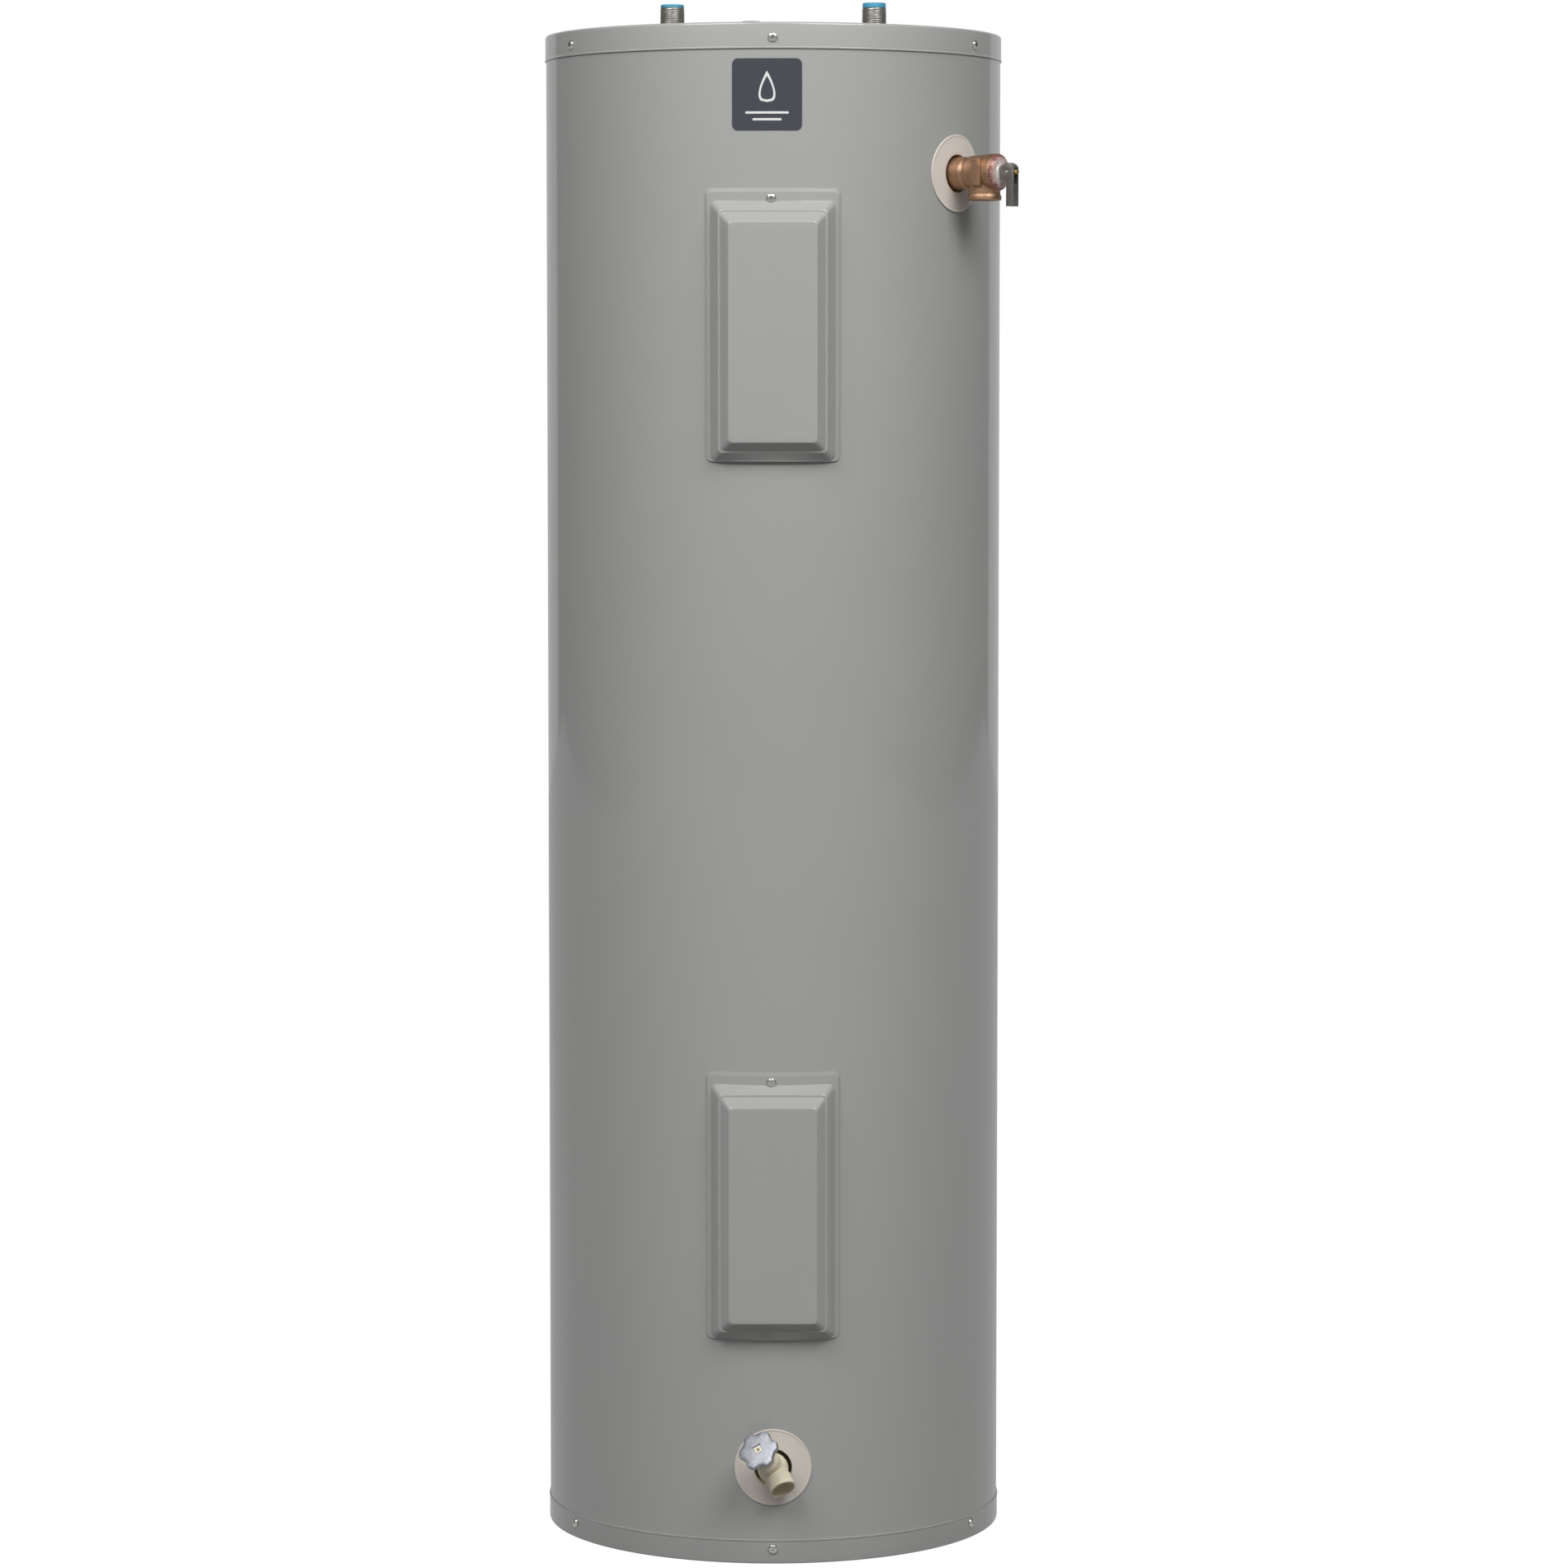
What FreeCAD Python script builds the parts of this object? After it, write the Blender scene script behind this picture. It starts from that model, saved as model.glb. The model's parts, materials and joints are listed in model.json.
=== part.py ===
import FreeCAD, Part
import os
import re
import Sketcher
from FreeCAD import Placement, Rotation, Vector

# Tank water heater, upright electric storage type. Millimetres, +Z up, front faces -Y.
# Origin: centre of the bottom pan's underside, on the floor.

doc = FreeCAD.newDocument("tank_water_heater")

# ---------------------------------------------------------------- sizes
SIZES = (
    ("jacket_r", 228.6, "outside radius of the painted jacket, 18 in across"),
    ("sheet", 0.8, "jacket and pan sheet thickness"),
    ("top_z", 1505.0, "upper face of the top pan"),
    ("skirt_h", 25.6, "height of the top pan's skirt"),
    ("jacket_drop", 9.0, "jacket ends this far below the top pan's face"),
    ("foot_ring", 24.0, "height of the bottom pan's ring"),
    ("flare", 1.5, "how far the pans' free edges stand off the jacket"),
    ("top_screw_drop", 14.7, "top pan screws below the pan's face"),
    ("foot_screw_z", 15.0, "height of the bottom pan screws"),
    ("screw_r", 1.9, "sheet metal screw shank"),
    ("screw_play", 0.3, "free fit of a screw in a hole it lifts out of"),
    ("screw_head_r", 4.7, "sheet metal screw head"),
    ("screw_head", 2.6, "sheet metal screw head height"),
    ("foam_gap", 25.4, "from the tank's outside to the jacket's outside"),
    ("tank_wall", 2.2, "tank steel thickness"),
    ("shell_drop", 80.0, "tank shell ends this far below the top pan's face"),
    ("head_rise", 50.0, "rise of both tank heads"),
    ("low_head_z", 42.0, "rim height of the bottom head"),
    ("base_ring_z", 60.0, "top of the fibre ring round the tank's foot"),
    ("spud_wall", 5.665, "wall of the pipe spuds"),
    ("pipe_r", 13.335, "3/4 in pipe outside radius"),
    ("pipe_bore", 10.5, "3/4 in pipe inside radius"),
    ("nipple_x", 101.6, "nipple offset, 8 in between centres"),
    ("nipple_up", 29.5, "nipples stand over the top pan"),
    ("nipple_in", 18.0, "nipples screw this far into their spuds"),
    ("spud_drop", 15.0, "top spuds end below the top pan's face"),
    ("spud_h", 34.0, "height of the top spuds"),
    ("hot_liner_up", 3.1, "hot liner stands over its nipple"),
    ("cold_liner_up", 4.9, "cold liner stands over its nipple"),
    ("liner_wall", 1.6, "wall of the nipple liners"),
    ("pan_play", 1.065, "pan holes are larger than the pipes by this"),
    ("anode_x", -22.0, "anode offset to the side"),
    ("anode_y", -30.0, "anode offset to the front"),
    ("anode_rod_r", 9.5, "anode rod radius"),
    ("anode_len", 1000.0, "anode rod length"),
    ("anode_cap_h", 14.0, "anode cap height over the pan"),
    ("dip_foot", 150.0, "lower end of the dip tube"),
    ("upper_drop", 423.5, "upper access panel's lower edge below the top pan's face"),
    ("lower_z", 222.5, "lower edge of the lower access panel"),
    ("panel_h", 264.0, "access panel height"),
    ("panel_w", 130.0, "access panel width"),
    ("panel_sheet", 1.0, "access panel sheet thickness"),
    ("panel_gap", 0.3, "gap between the panel flange and the jacket"),
    ("box_w", 121.0, "raised part of the panel, width"),
    ("box_low", 1.5, "raised part starts above the lower edge"),
    ("box_high", 14.0, "raised part ends below the upper edge"),
    ("slope_w", 8.0, "width of the first slope"),
    ("ledge_w", 2.0, "width of the ledge between the slopes"),
    ("slope2_w", 8.5, "width of the second slope"),
    ("ledge_out", 9.0, "ledge stands out past the jacket"),
    ("face_out", 20.0, "flat face stands out past the jacket"),
    ("press_wall", 1.6, "inner press form set back by this much"),
    ("panel_screw_x", -1.5, "panel screw offset"),
    ("panel_screw_drop", 9.5, "panel screw below the upper edge"),
    ("pad_t", 9.0, "insulation pad thickness behind the panel"),
    ("opening_w", 112.0, "service opening in the jacket, width"),
    ("badge_x", -5.6, "badge offset"),
    ("badge_drop", 104.0, "badge's lower edge below the top pan's face"),
    ("badge_w", 67.5, "badge width"),
    ("badge_h", 69.0, "badge height"),
    ("badge_t", 0.6, "badge thickness"),
    ("element_up", 40.0, "element axis above the panel's lower edge"),
    ("element_spud_wall", 7.5, "element spud wall"),
    ("element_thread_r", 16.5, "element thread radius"),
    ("element_len", 270.0, "element reach into the tank"),
    ("element_loop", 7.5, "half distance between the element's legs"),
    ("control_w", 46.0, "thermostat body width"),
    ("control_h", 58.0, "thermostat body height"),
    ("control_t", 20.0, "thermostat body depth"),
    ("control_up", 78.0, "thermostat above the panel's lower edge"),
    ("limit_up", 138.0, "high-limit control above the panel's lower edge"),
    ("clip_t", 1.2, "thermostat clip thickness"),
    ("dial_r", 8.0, "temperature dial radius"),
    ("dial_pin_r", 2.5, "dial pivot radius"),
    ("pin_play", 0.06, "running clearance of small pivots"),
    ("button_r", 4.0, "reset button radius"),
    ("wire_r", 1.4, "insulated wire radius"),
    ("jbox_x0", -66.0, "junction box, left side"),
    ("jbox_x1", 44.0, "junction box, right side"),
    ("jbox_y0", -192.0, "junction box, front side"),
    ("jbox_y1", -118.0, "junction box, rear side"),
    ("jbox_deep", 39.0, "junction box depth"),
    ("knockout_r", 11.1, "conduit knockout radius, 7/8 in"),
    ("knockout_x", -44.0, "conduit knockout offset"),
    ("knockout_y", -155.0, "conduit knockout to the front"),
    ("cover_x0", -18.0, "wiring cover, left side"),
    ("cover_x1", 56.0, "wiring cover, right side"),
    ("cover_y0", -188.0, "wiring cover, front side"),
    ("cover_y1", -122.0, "wiring cover, rear side"),
    ("relief_drop", 142.0, "relief valve axis below the top pan's face"),
    ("relief_turn", 52.0, "relief valve angle from the front, degrees"),
    ("side_spud_out", 15.0, "side spuds stand out of the tank"),
    ("outlet_out", 33.9, "relief outlet axis outside the jacket"),
    ("relief_bore", 12.6, "relief outlet thread radius"),
    ("relief_nose", 16.5, "relief body past its outlet axis"),
    ("relief_cap_t", 4.5, "relief cap thickness"),
    ("lever_gap", 8.5, "lever pivot past the relief cap"),
    ("lever_len", 33.4, "lever length below its pivot"),
    ("lever_w", 9.0, "lever width"),
    ("lever_slot", 6.2, "inside width of the lever channel"),
    ("lift_stem_r", 2.4, "relief stem radius"),
    ("lever_pin_r", 1.5, "lever pin radius"),
    ("rosette_r", 38.0, "escutcheon radius, 3 in across"),
    ("rosette_hole", 18.5, "escutcheon hole radius"),
    ("rosette_t", 1.6, "escutcheon thickness"),
    ("drain_z", 96.0, "drain valve axis height"),
    ("drain_out", 6.0, "drain valve axes meet outside the jacket"),
    ("drain_clock", 29.0, "drain valve turned about its shank, degrees"),
    ("hose_r", 13.5, "garden hose thread radius"),
    ("hose_bore", 9.5, "drain outlet bore radius"),
    ("hose_len", 26.0, "drain outlet length"),
    ("hose_neck_r", 12.6, "drain outlet radius behind its thread"),
    ("hose_thread", 13.5, "length of the garden hose thread"),
    ("outlet_drop", 27.0, "relief outlet's mouth below the valve's axis"),
    ("outlet_socket", 12.0, "depth of the relief outlet's thread"),
    ("outlet_port_r", 7.0, "passage radius from the chamber to the outlet"),
    ("chamber_r", 14.2, "relief valve chamber radius"),
    ("drain_ball", 15.5, "drain valve body radius"),
    ("bonnet_r", 12.0, "drain bonnet radius"),
    ("bonnet_len", 27.0, "drain bonnet length"),
    ("drain_stem_r", 5.0, "drain stem radius"),
    ("knob_at", 41.0, "knob's rear face along the stem"),
    ("knob_t", 7.0, "knob thickness"),
    ("knob_core", 15.6, "knob radius between lobes"),
    ("lobe_r", 5.6, "knob lobe radius"),
    ("lobe_at", 14.4, "knob lobe centre radius"),
)
sheet = doc.addObject("Spreadsheet::Sheet", "dims")
for row, (alias, value, note) in enumerate(SIZES, start=1):
    sheet.set("A%d" % row, note)
    sheet.set("B%d" % row, str(value))
    sheet.setAlias("B%d" % row, alias)
doc.recompute()
NAMES = {alias for alias, _, _ in SIZES}
# Places that follow from the sizes above.
PLACES = {
    "tank_r": "(jacket_r - foam_gap)",
    "skirt_z": "(top_z - skirt_h)",
    "jacket_top": "(top_z - jacket_drop)",
    "top_screw_z": "(top_z - top_screw_drop)",
    "shell_top": "(top_z - shell_drop)",
    "spud_r": "(pipe_r + spud_wall)",
    "spud_top": "(top_z - spud_drop)",
    "spud_foot": "(top_z - spud_drop - spud_h)",
    "nipple_top": "(top_z + nipple_up)",
    "nipple_foot": "(top_z - spud_drop - nipple_in)",
    "hot_rim": "(top_z + nipple_up + hot_liner_up)",
    "cold_rim": "(top_z + nipple_up + cold_liner_up)",
    "pan_hole_r": "(pipe_r + pan_play)",
    "anode_cap_r": "(pipe_r + pan_play)",
    "upper_z": "(top_z - upper_drop)",
    "badge_z": "(top_z - badge_drop)",
    "element_spud_r": "(element_thread_r + element_spud_wall)",
    "jbox_z": "(top_z - jbox_deep)",
    "relief_z": "(top_z - relief_drop)",
    "outlet_at": "(jacket_r + outlet_out)",
    "relief_body_end": "(jacket_r + outlet_out + relief_nose)",
    "relief_cap_end": "(jacket_r + outlet_out + relief_nose + relief_cap_t)",
    "lever_at": "(jacket_r + outlet_out + relief_nose + relief_cap_t + lever_gap)",
}
WORD = r"[a-z][a-z0-9_]*"


# ---------------------------------------------------------------- helpers
def full(text):
    """Expression text with every size name pointing into the sheet."""
    text = re.sub(WORD, lambda found: PLACES.get(found.group(), found.group()), str(text))
    return re.sub(WORD, lambda found: ("dims." if found.group() in NAMES else "") + found.group(), text)


def size(text):
    """Present value of an expression of sizes."""
    return float(sheet.evalExpression(full(text)))


def bind(thing, **values):
    for name, text in values.items():
        thing.setExpression(name.replace("__", "."), full(text))
    return thing


def place(thing, x="0", y="0", z="0", turn=None):
    """Base of the placement, and an optional turn about +Z, from the sheet."""
    if turn is not None:
        thing.Placement = Placement(Vector(), Rotation(Vector(0, 0, 1), 10))
        thing.setExpression("Placement.Rotation.Angle", full(turn))
    for axis, text in (("x", x), ("y", y), ("z", z)):
        if text != "0":
            thing.setExpression("Placement.Base." + axis, full(text))
    return thing


def made(kind, label):
    thing = doc.addObject(kind, label)
    thing.Label = label
    return thing


def box(label, x0, x1, y0, y1, z0, z1):
    block = made("Part::Box", label)
    spans = ["(%s) - (%s)" % ends for ends in ((x1, x0), (y1, y0), (z1, z0))]
    bind(block, Length=spans[0], Width=spans[1], Height=spans[2])
    return place(block, x0, y0, z0)


def rod(label, radius, x, y, z0, z1):
    """Upright cylinder."""
    post = made("Part::Cylinder", label)
    bind(post, Radius=radius, Height="(%s) - (%s)" % (z1, z0))
    return place(post, x, y, z0)


def forward_rod(label, radius, x, z, d0, d1):
    """Cylinder pointing to the front, from d0 to d1 away from the heater's axis."""
    post = made("Part::Cylinder", label)
    post.Placement = Placement(Vector(), Rotation(Vector(1, 0, 0), 90))
    bind(post, Radius=radius, Height="(%s) - (%s)" % (d1, d0))
    return place(post, x, "-(%s)" % d0, z)


def joined(label, parts):
    group = made("Part::MultiFuse", label)
    group.Shapes = parts
    return group


def less(label, base, tools):
    result = made("Part::Cut", label)
    result.Base = base
    result.Tool = tools[0] if len(tools) == 1 else joined(label + "_tools", tools)
    return result


def grouped(label, parts):
    """Pieces that are placed together but keep their own solids."""
    group = made("Part::Compound", label)
    group.Links = parts
    return group


def common(label, one, two):
    result = made("Part::Common", label)
    result.Base = one
    result.Tool = two
    return result


def origin_plane(owner, role):
    return [plane for plane in owner.Origin.OriginFeatures if plane.Role == role][0]


def outline(owner, name, role, points):
    """Closed outline on an origin plane, every corner held to the sheet."""
    sketch = owner.newObject("Sketcher::SketchObject", name)
    sketch.AttachmentSupport = (origin_plane(owner, role), [""])
    sketch.MapMode = "FlatFace"
    corners = [Vector(size(x), size(y), 0) for x, y in points]
    count = len(corners)
    for i in range(count):
        sketch.addGeometry(Part.LineSegment(corners[i], corners[(i + 1) % count]))
    for i in range(count):
        sketch.addConstraint(Sketcher.Constraint("Coincident", i, 2, (i + 1) % count, 1))
    for i, (x, y) in enumerate(points):
        for kind, text in (("DistanceX", x), ("DistanceY", y)):
            if abs(size(text)) < 1e-9:
                axis = -2 if kind == "DistanceX" else -1
                sketch.addConstraint(Sketcher.Constraint("PointOnObject", i, 1, axis))
                continue
            index = sketch.addConstraint(Sketcher.Constraint(kind, -1, 1, i, 1, size(text)))
            sketch.setExpression("Constraints[%d]" % index, full(text))
    return sketch


def circle(owner, name, role, radius, x="0", y="0"):
    """Circle on an origin plane, centre and radius held to the sheet."""
    sketch = owner.newObject("Sketcher::SketchObject", name)
    sketch.AttachmentSupport = (origin_plane(owner, role), [""])
    sketch.MapMode = "FlatFace"
    centre = Vector(size(x), size(y), 0)
    sketch.addGeometry(Part.Circle(centre, Vector(0, 0, 1), size(radius)))
    index = sketch.addConstraint(Sketcher.Constraint("Radius", 0, size(radius)))
    sketch.setExpression("Constraints[%d]" % index, full(radius))
    for kind, text, axis in (("DistanceX", x, -2), ("DistanceY", y, -1)):
        if abs(size(text)) < 1e-9:
            sketch.addConstraint(Sketcher.Constraint("PointOnObject", 0, 3, axis))
            continue
        index = sketch.addConstraint(Sketcher.Constraint(kind, -1, 1, 0, 3, size(text)))
        sketch.setExpression("Constraints[%d]" % index, full(text))
    return sketch


def revolved(owner, name, sketch, axis):
    turned = owner.newObject("PartDesign::Revolution", name)
    turned.Profile = sketch
    turned.ReferenceAxis = (sketch, [axis])
    turned.Angle = 360
    return turned


def upright(label, points):
    """Body turned about +Z from (radius, height) corners."""
    owner = made("PartDesign::Body", label)
    revolved(owner, label + "_turn", outline(owner, label + "_profile", "XZ_Plane", points), "V_Axis")
    return owner


def forward(label, points):
    """Body turned about the front axis from (distance out, radius) corners."""
    owner = made("PartDesign::Body", label)
    corners = [("-(%s)" % out, radius) for out, radius in points]
    revolved(owner, label + "_turn", outline(owner, label + "_profile", "YZ_Plane", corners), "H_Axis")
    return owner


def extruded(owner, name, sketch, length, kind="PartDesign::Pad", middle=False):
    step = owner.newObject(kind, name)
    step.Profile = sketch
    bind(step, Length=length)
    if middle:
        step.SideType = "Symmetric"
    return step


def rounded(owner, name, base, radius, test):
    """Fillet every edge of the last step that passes the test."""
    doc.recompute()
    names = ["Edge%d" % (i + 1) for i, edge in enumerate(base.Shape.Edges) if test(edge.BoundBox)]
    fillet = owner.newObject("PartDesign::Fillet", name)
    fillet.Base = (base, names)
    bind(fillet, Radius=radius)
    owner.Tip = fillet
    return fillet


def flat_ring(bounds, radius, height):
    """True for a level circular edge of this radius and height."""
    level = abs(bounds.ZMax - height) < 0.01 and abs(bounds.ZMin - height) < 0.01
    return level and abs(bounds.XMax - radius) < 0.05


def shell_ring(label, inner, outer, z0, z1):
    return upright(label, [(inner, z0), (outer, z0), (outer, z1), (inner, z1)])


def radial_rods(label, radius, z, d0, d1, count=6):
    """Evenly spaced horizontal cylinders used to cut the screw holes."""
    parts = []
    for i in range(count):
        post = made("Part::Cylinder", "%s_%d" % (label, i))
        turn = Rotation(Vector(0, 0, 1), 360.0 * i / count) * Rotation(Vector(1, 0, 0), 90)
        post.Placement = Placement(turn.multVec(Vector(0, 0, size(d0))), turn)
        bind(post, Radius=radius, Height="(%s) - (%s)" % (d1, d0), Placement__Base__z=z)
        parts.append(post)
    return joined(label, parts)


nodes = []


def keep(thing):
    nodes.append(thing)
    return thing


# ---------------------------------------------------------------- cutters shared by several sheets
top_holes = radial_rods("top_screw_holes", "screw_r", "top_screw_z", "jacket_r - 12", "jacket_r + 6")
foot_holes = radial_rods("foot_screw_holes", "screw_r", "foot_screw_z", "jacket_r - 12", "jacket_r + 6")
relief_hole = forward_rod("relief_hole", "rosette_hole", "0", "0", "tank_r - 8", "jacket_r + 8")
relief_hole_at = place(grouped("relief_hole_at", [relief_hole]), "0", "0", "relief_z", "relief_turn")
drain_hole = forward_rod("drain_hole", "rosette_hole", "0", "drain_z", "tank_r - 8", "jacket_r + 8")
PANELS = (("upper", "upper_z"), ("lower", "lower_z"))

# ---------------------------------------------------------------- jacket, pans and their screws
# Rolled sheet jacket with two service openings and round holes for the relief and drain valves.
jacket_tube = shell_ring("jacket_tube", "jacket_r - sheet", "jacket_r", "sheet", "jacket_top")
openings = [box(name + "_opening", "-opening_w / 2", "opening_w / 2", "-jacket_r - 5", "-150",
                z + " + 8", z + " + panel_h - 22") for name, z in PANELS]
panel_screw_holes = [forward_rod(name + "_panel_screw_hole", "screw_r + screw_play", "panel_screw_x",
                     z + " + panel_h - panel_screw_drop", "tank_r + 4", "jacket_r + 4") for name, z in PANELS]
jacket = keep(less("jacket", jacket_tube, openings + panel_screw_holes + [relief_hole_at, drain_hole,
              top_holes, foot_holes]))

# Top pan: a shallow drawn lid whose skirt slips over the jacket.
top_pan_sheet = upright("top_pan_sheet", [
    ("0", "top_z"), ("jacket_r + sheet", "top_z"), ("jacket_r + sheet", "skirt_z + 3"),
    ("jacket_r + flare", "skirt_z + 1.5"), ("jacket_r + flare", "skirt_z"), ("jacket_r", "skirt_z"),
    ("jacket_r", "top_z - sheet"), ("0", "top_z - sheet")])
turn_step = top_pan_sheet.Tip
rounded(top_pan_sheet, "top_corner", turn_step, "5",
        lambda b: flat_ring(b, size("jacket_r + sheet"), size("top_z")))
pan_cuts = [top_holes,
            rod("hot_pan_hole", "pan_hole_r", "-nipple_x", "0", "top_z - 10", "top_z + 10"),
            rod("cold_pan_hole", "pan_hole_r", "nipple_x", "0", "top_z - 10", "top_z + 10"),
            rod("anode_pan_hole", "pan_hole_r", "anode_x", "anode_y", "top_z - 10", "top_z + 10"),
            rod("knockout_hole", "knockout_r", "knockout_x", "knockout_y", "top_z - 3", "top_z + 3"),
            box("cover_hole", "cover_x0 + 6", "cover_x1 - 14", "cover_y0 + 6", "cover_y1 - 6",
                "top_z - 3", "top_z + 3"),
            rod("cover_screw_hole", "screw_r + screw_play", "cover_x1 - 6", "(cover_y0 + cover_y1) / 2",
                "top_z - 3", "top_z + 3")]
top_pan = keep(less("top_pan", top_pan_sheet, pan_cuts))

# Bottom pan: a drawn tray, beaded at its upper edge, that the jacket and tank stand in.
bottom_pan_sheet = upright("bottom_pan_sheet", [
    ("0", "0"), ("jacket_r + sheet", "0"), ("jacket_r + sheet", "foot_ring - 3"),
    ("jacket_r + flare", "foot_ring - 1.8"), ("jacket_r + flare", "foot_ring"), ("jacket_r", "foot_ring"),
    ("jacket_r", "sheet"), ("0", "sheet")])
foot_step = bottom_pan_sheet.Tip
rounded(bottom_pan_sheet, "foot_corner", foot_step, "1.2",
        lambda b: flat_ring(b, size("jacket_r + sheet"), 0.0))
bottom_pan = keep(less("bottom_pan", bottom_pan_sheet, [foot_holes]))


def ring_of_screws(label, z):
    """Six pan-head screws through a pan's skirt into the jacket."""
    owner = made("PartDesign::Body", label)
    if hasattr(owner, "AllowCompound"):
        owner.AllowCompound = True
    face = "jacket_r + sheet"
    corners = [(face + " - 9", "0"), (face + " - 9", "screw_r"), (face, "screw_r"), (face, "screw_head_r"),
               (face + " + 0.7", "screw_head_r"), (face + " + 1.9", "screw_head_r - 0.9"),
               (face + " + screw_head", "screw_head_r - 2.6"), (face + " + screw_head", "1.6"),
               (face + " + screw_head - 1.2", "0")]
    sketch = outline(owner, label + "_profile", "YZ_Plane", [("-(%s)" % out, up) for out, up in corners])
    step = revolved(owner, label + "_one", sketch, "H_Axis")
    doc.recompute()
    pattern = owner.newObject("PartDesign::PolarPattern", label + "_six")
    pattern.Originals = [step]
    pattern.Axis = (sketch, ["V_Axis"])
    pattern.Angle = 360
    pattern.Occurrences = 6
    owner.Tip = pattern
    return place(owner, "0", "0", z)


keep(ring_of_screws("top_pan_screws", "top_screw_z"))
keep(ring_of_screws("bottom_pan_screws", "foot_screw_z"))


# ---------------------------------------------------------------- tank
def dome(label, rim_r, rim_z, set_in):
    """Solid cap of a sphere over a flat rim, its surface set in by the given amount."""
    ball = made("Part::Sphere", label + "_ball")
    ball_r = "((%s) ^ 2 + head_rise ^ 2) / (2 * head_rise)" % rim_r
    bind(ball, Radius="%s - (%s)" % (ball_r, set_in))
    place(ball, "0", "0", "(%s) + head_rise - %s" % (rim_z, ball_r))
    drum = rod(label + "_drum", rim_r, "0", "0", rim_z, "(%s) + head_rise + 5" % rim_z)
    return common(label, ball, drum)


def spud_up(label, x, y):
    return rod(label, "spud_r", x, y, "spud_foot", "spud_top")


TOP_PORTS = (("hot", "-nipple_x", "0"), ("cold", "nipple_x", "0"), ("anode", "anode_x", "anode_y"))
top_port_cuts = [spud_up(name + "_port", x, y) for name, x, y in TOP_PORTS]
top_head = keep(less("tank_top_head", dome("top_dome", "tank_r", "shell_top", "0"),
                     [dome("top_dome_inside", "tank_r", "shell_top", "tank_wall")] + top_port_cuts))
low_rim = "tank_r - tank_wall"
bottom_head = keep(less("tank_bottom_head", dome("low_dome", low_rim, "low_head_z", "0"),
                        [dome("low_dome_inside", low_rim, "low_head_z", "tank_wall")]))

side_out = "tank_r + side_spud_out"
ELEMENTS = tuple((name, z + " + element_up") for name, z in PANELS)
side_cuts = [forward_rod(name + "_element_port", "element_spud_r", "0", z, "tank_r - 8", "tank_r + 9")
             for name, z in ELEMENTS]
drain_port = forward_rod("drain_port", "spud_r", "0", "drain_z", "tank_r - 8", side_out)
relief_port_rod = forward_rod("relief_port_rod", "spud_r", "0", "0", "tank_r - 8", side_out)
relief_port = place(grouped("relief_port", [relief_port_rod]), "0", "0", "relief_z", "relief_turn")
shell_tube = shell_ring("shell_tube", "tank_r - tank_wall", "tank_r", "sheet", "shell_top")
keep(less("tank_shell", shell_tube, side_cuts + [drain_port, relief_port]))

# Threaded spuds welded into the tank: three on top, drain, relief and two for the elements.
spud_solids = joined("spud_solids", top_port_cuts + side_cuts + [drain_port, relief_port])
relief_thread = forward_rod("relief_thread", "pipe_r", "0", "0", "tank_r - 12", "tank_r + 20")
spud_bores = [rod(name + "_bore", "pipe_r", x, y, "spud_foot - 5", "spud_top + 5")
              for name, x, y in TOP_PORTS]
spud_bores += [forward_rod(name + "_element_bore", "element_thread_r", "0", z, "tank_r - 12", "tank_r + 14")
               for name, z in ELEMENTS]
spud_bores += [forward_rod("drain_bore", "pipe_r", "0", "drain_z", "tank_r - 12", "tank_r + 20"),
               place(grouped("relief_bore_at", [relief_thread]), "0", "0", "relief_z", "relief_turn")]
keep(less("tank_spuds", spud_solids, spud_bores))

# ---------------------------------------------------------------- insulation
foam_r = "jacket_r - sheet"
keep(less("base_insulation_ring", shell_ring("base_ring_tube", "tank_r", foam_r, "sheet", "base_ring_z"),
          [foot_holes]))
pockets = [box(name + "_pocket", "-opening_w / 2 - 3", "opening_w / 2 + 3", "-jacket_r - 5", "-140",
               z + " + 4", z + " + panel_h - 4") for name, z in PANELS]
link_channel = box("link_channel", "28", "50", "-jacket_r - 5", "-180", "lower_z + 100", "upper_z + 60")
supply_channel = box("supply_channel", "4", "26", "-jacket_r + 7", "jbox_y0", "upper_z + 200", "jbox_z + 18")
keep(less("foam_wall", shell_ring("foam_tube", "tank_r", foam_r, "base_ring_z", "shell_top"),
          pockets + [link_channel, supply_channel, relief_hole_at, drain_hole, relief_port, drain_port]))
foam_lid = rod("foam_lid", foam_r, "0", "0", "shell_top", "top_z - sheet")
lid_round = made("Part::Fillet", "foam_lid_round")
lid_round.Base = foam_lid
doc.recompute()
lid_edges = [i + 1 for i, edge in enumerate(foam_lid.Shape.Edges)
             if abs(edge.BoundBox.ZMin - size("top_z - sheet")) < 0.01 and abs(edge.BoundBox.ZLength) < 0.01]
lid_round.Edges = [(index, 6.0, 6.0) for index in lid_edges]
foam_top_cuts = [dome("foam_dome", "tank_r", "shell_top", "0"), top_holes, supply_channel,
                 box("jbox_room", "jbox_x0", "jbox_x1", "jbox_y0", "jbox_y1", "jbox_z", "top_z + 2"),
                 rod("cover_screw_room", "screw_r + 1", "cover_x1 - 6", "(cover_y0 + cover_y1) / 2",
                     "top_z - 14", "top_z + 3")]
foam_top_cuts += [rod(name + "_well", "spud_r", x, y, "spud_foot", "top_z + 5") for name, x, y in TOP_PORTS]
keep(less("foam_top", lid_round, foam_top_cuts))


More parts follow.
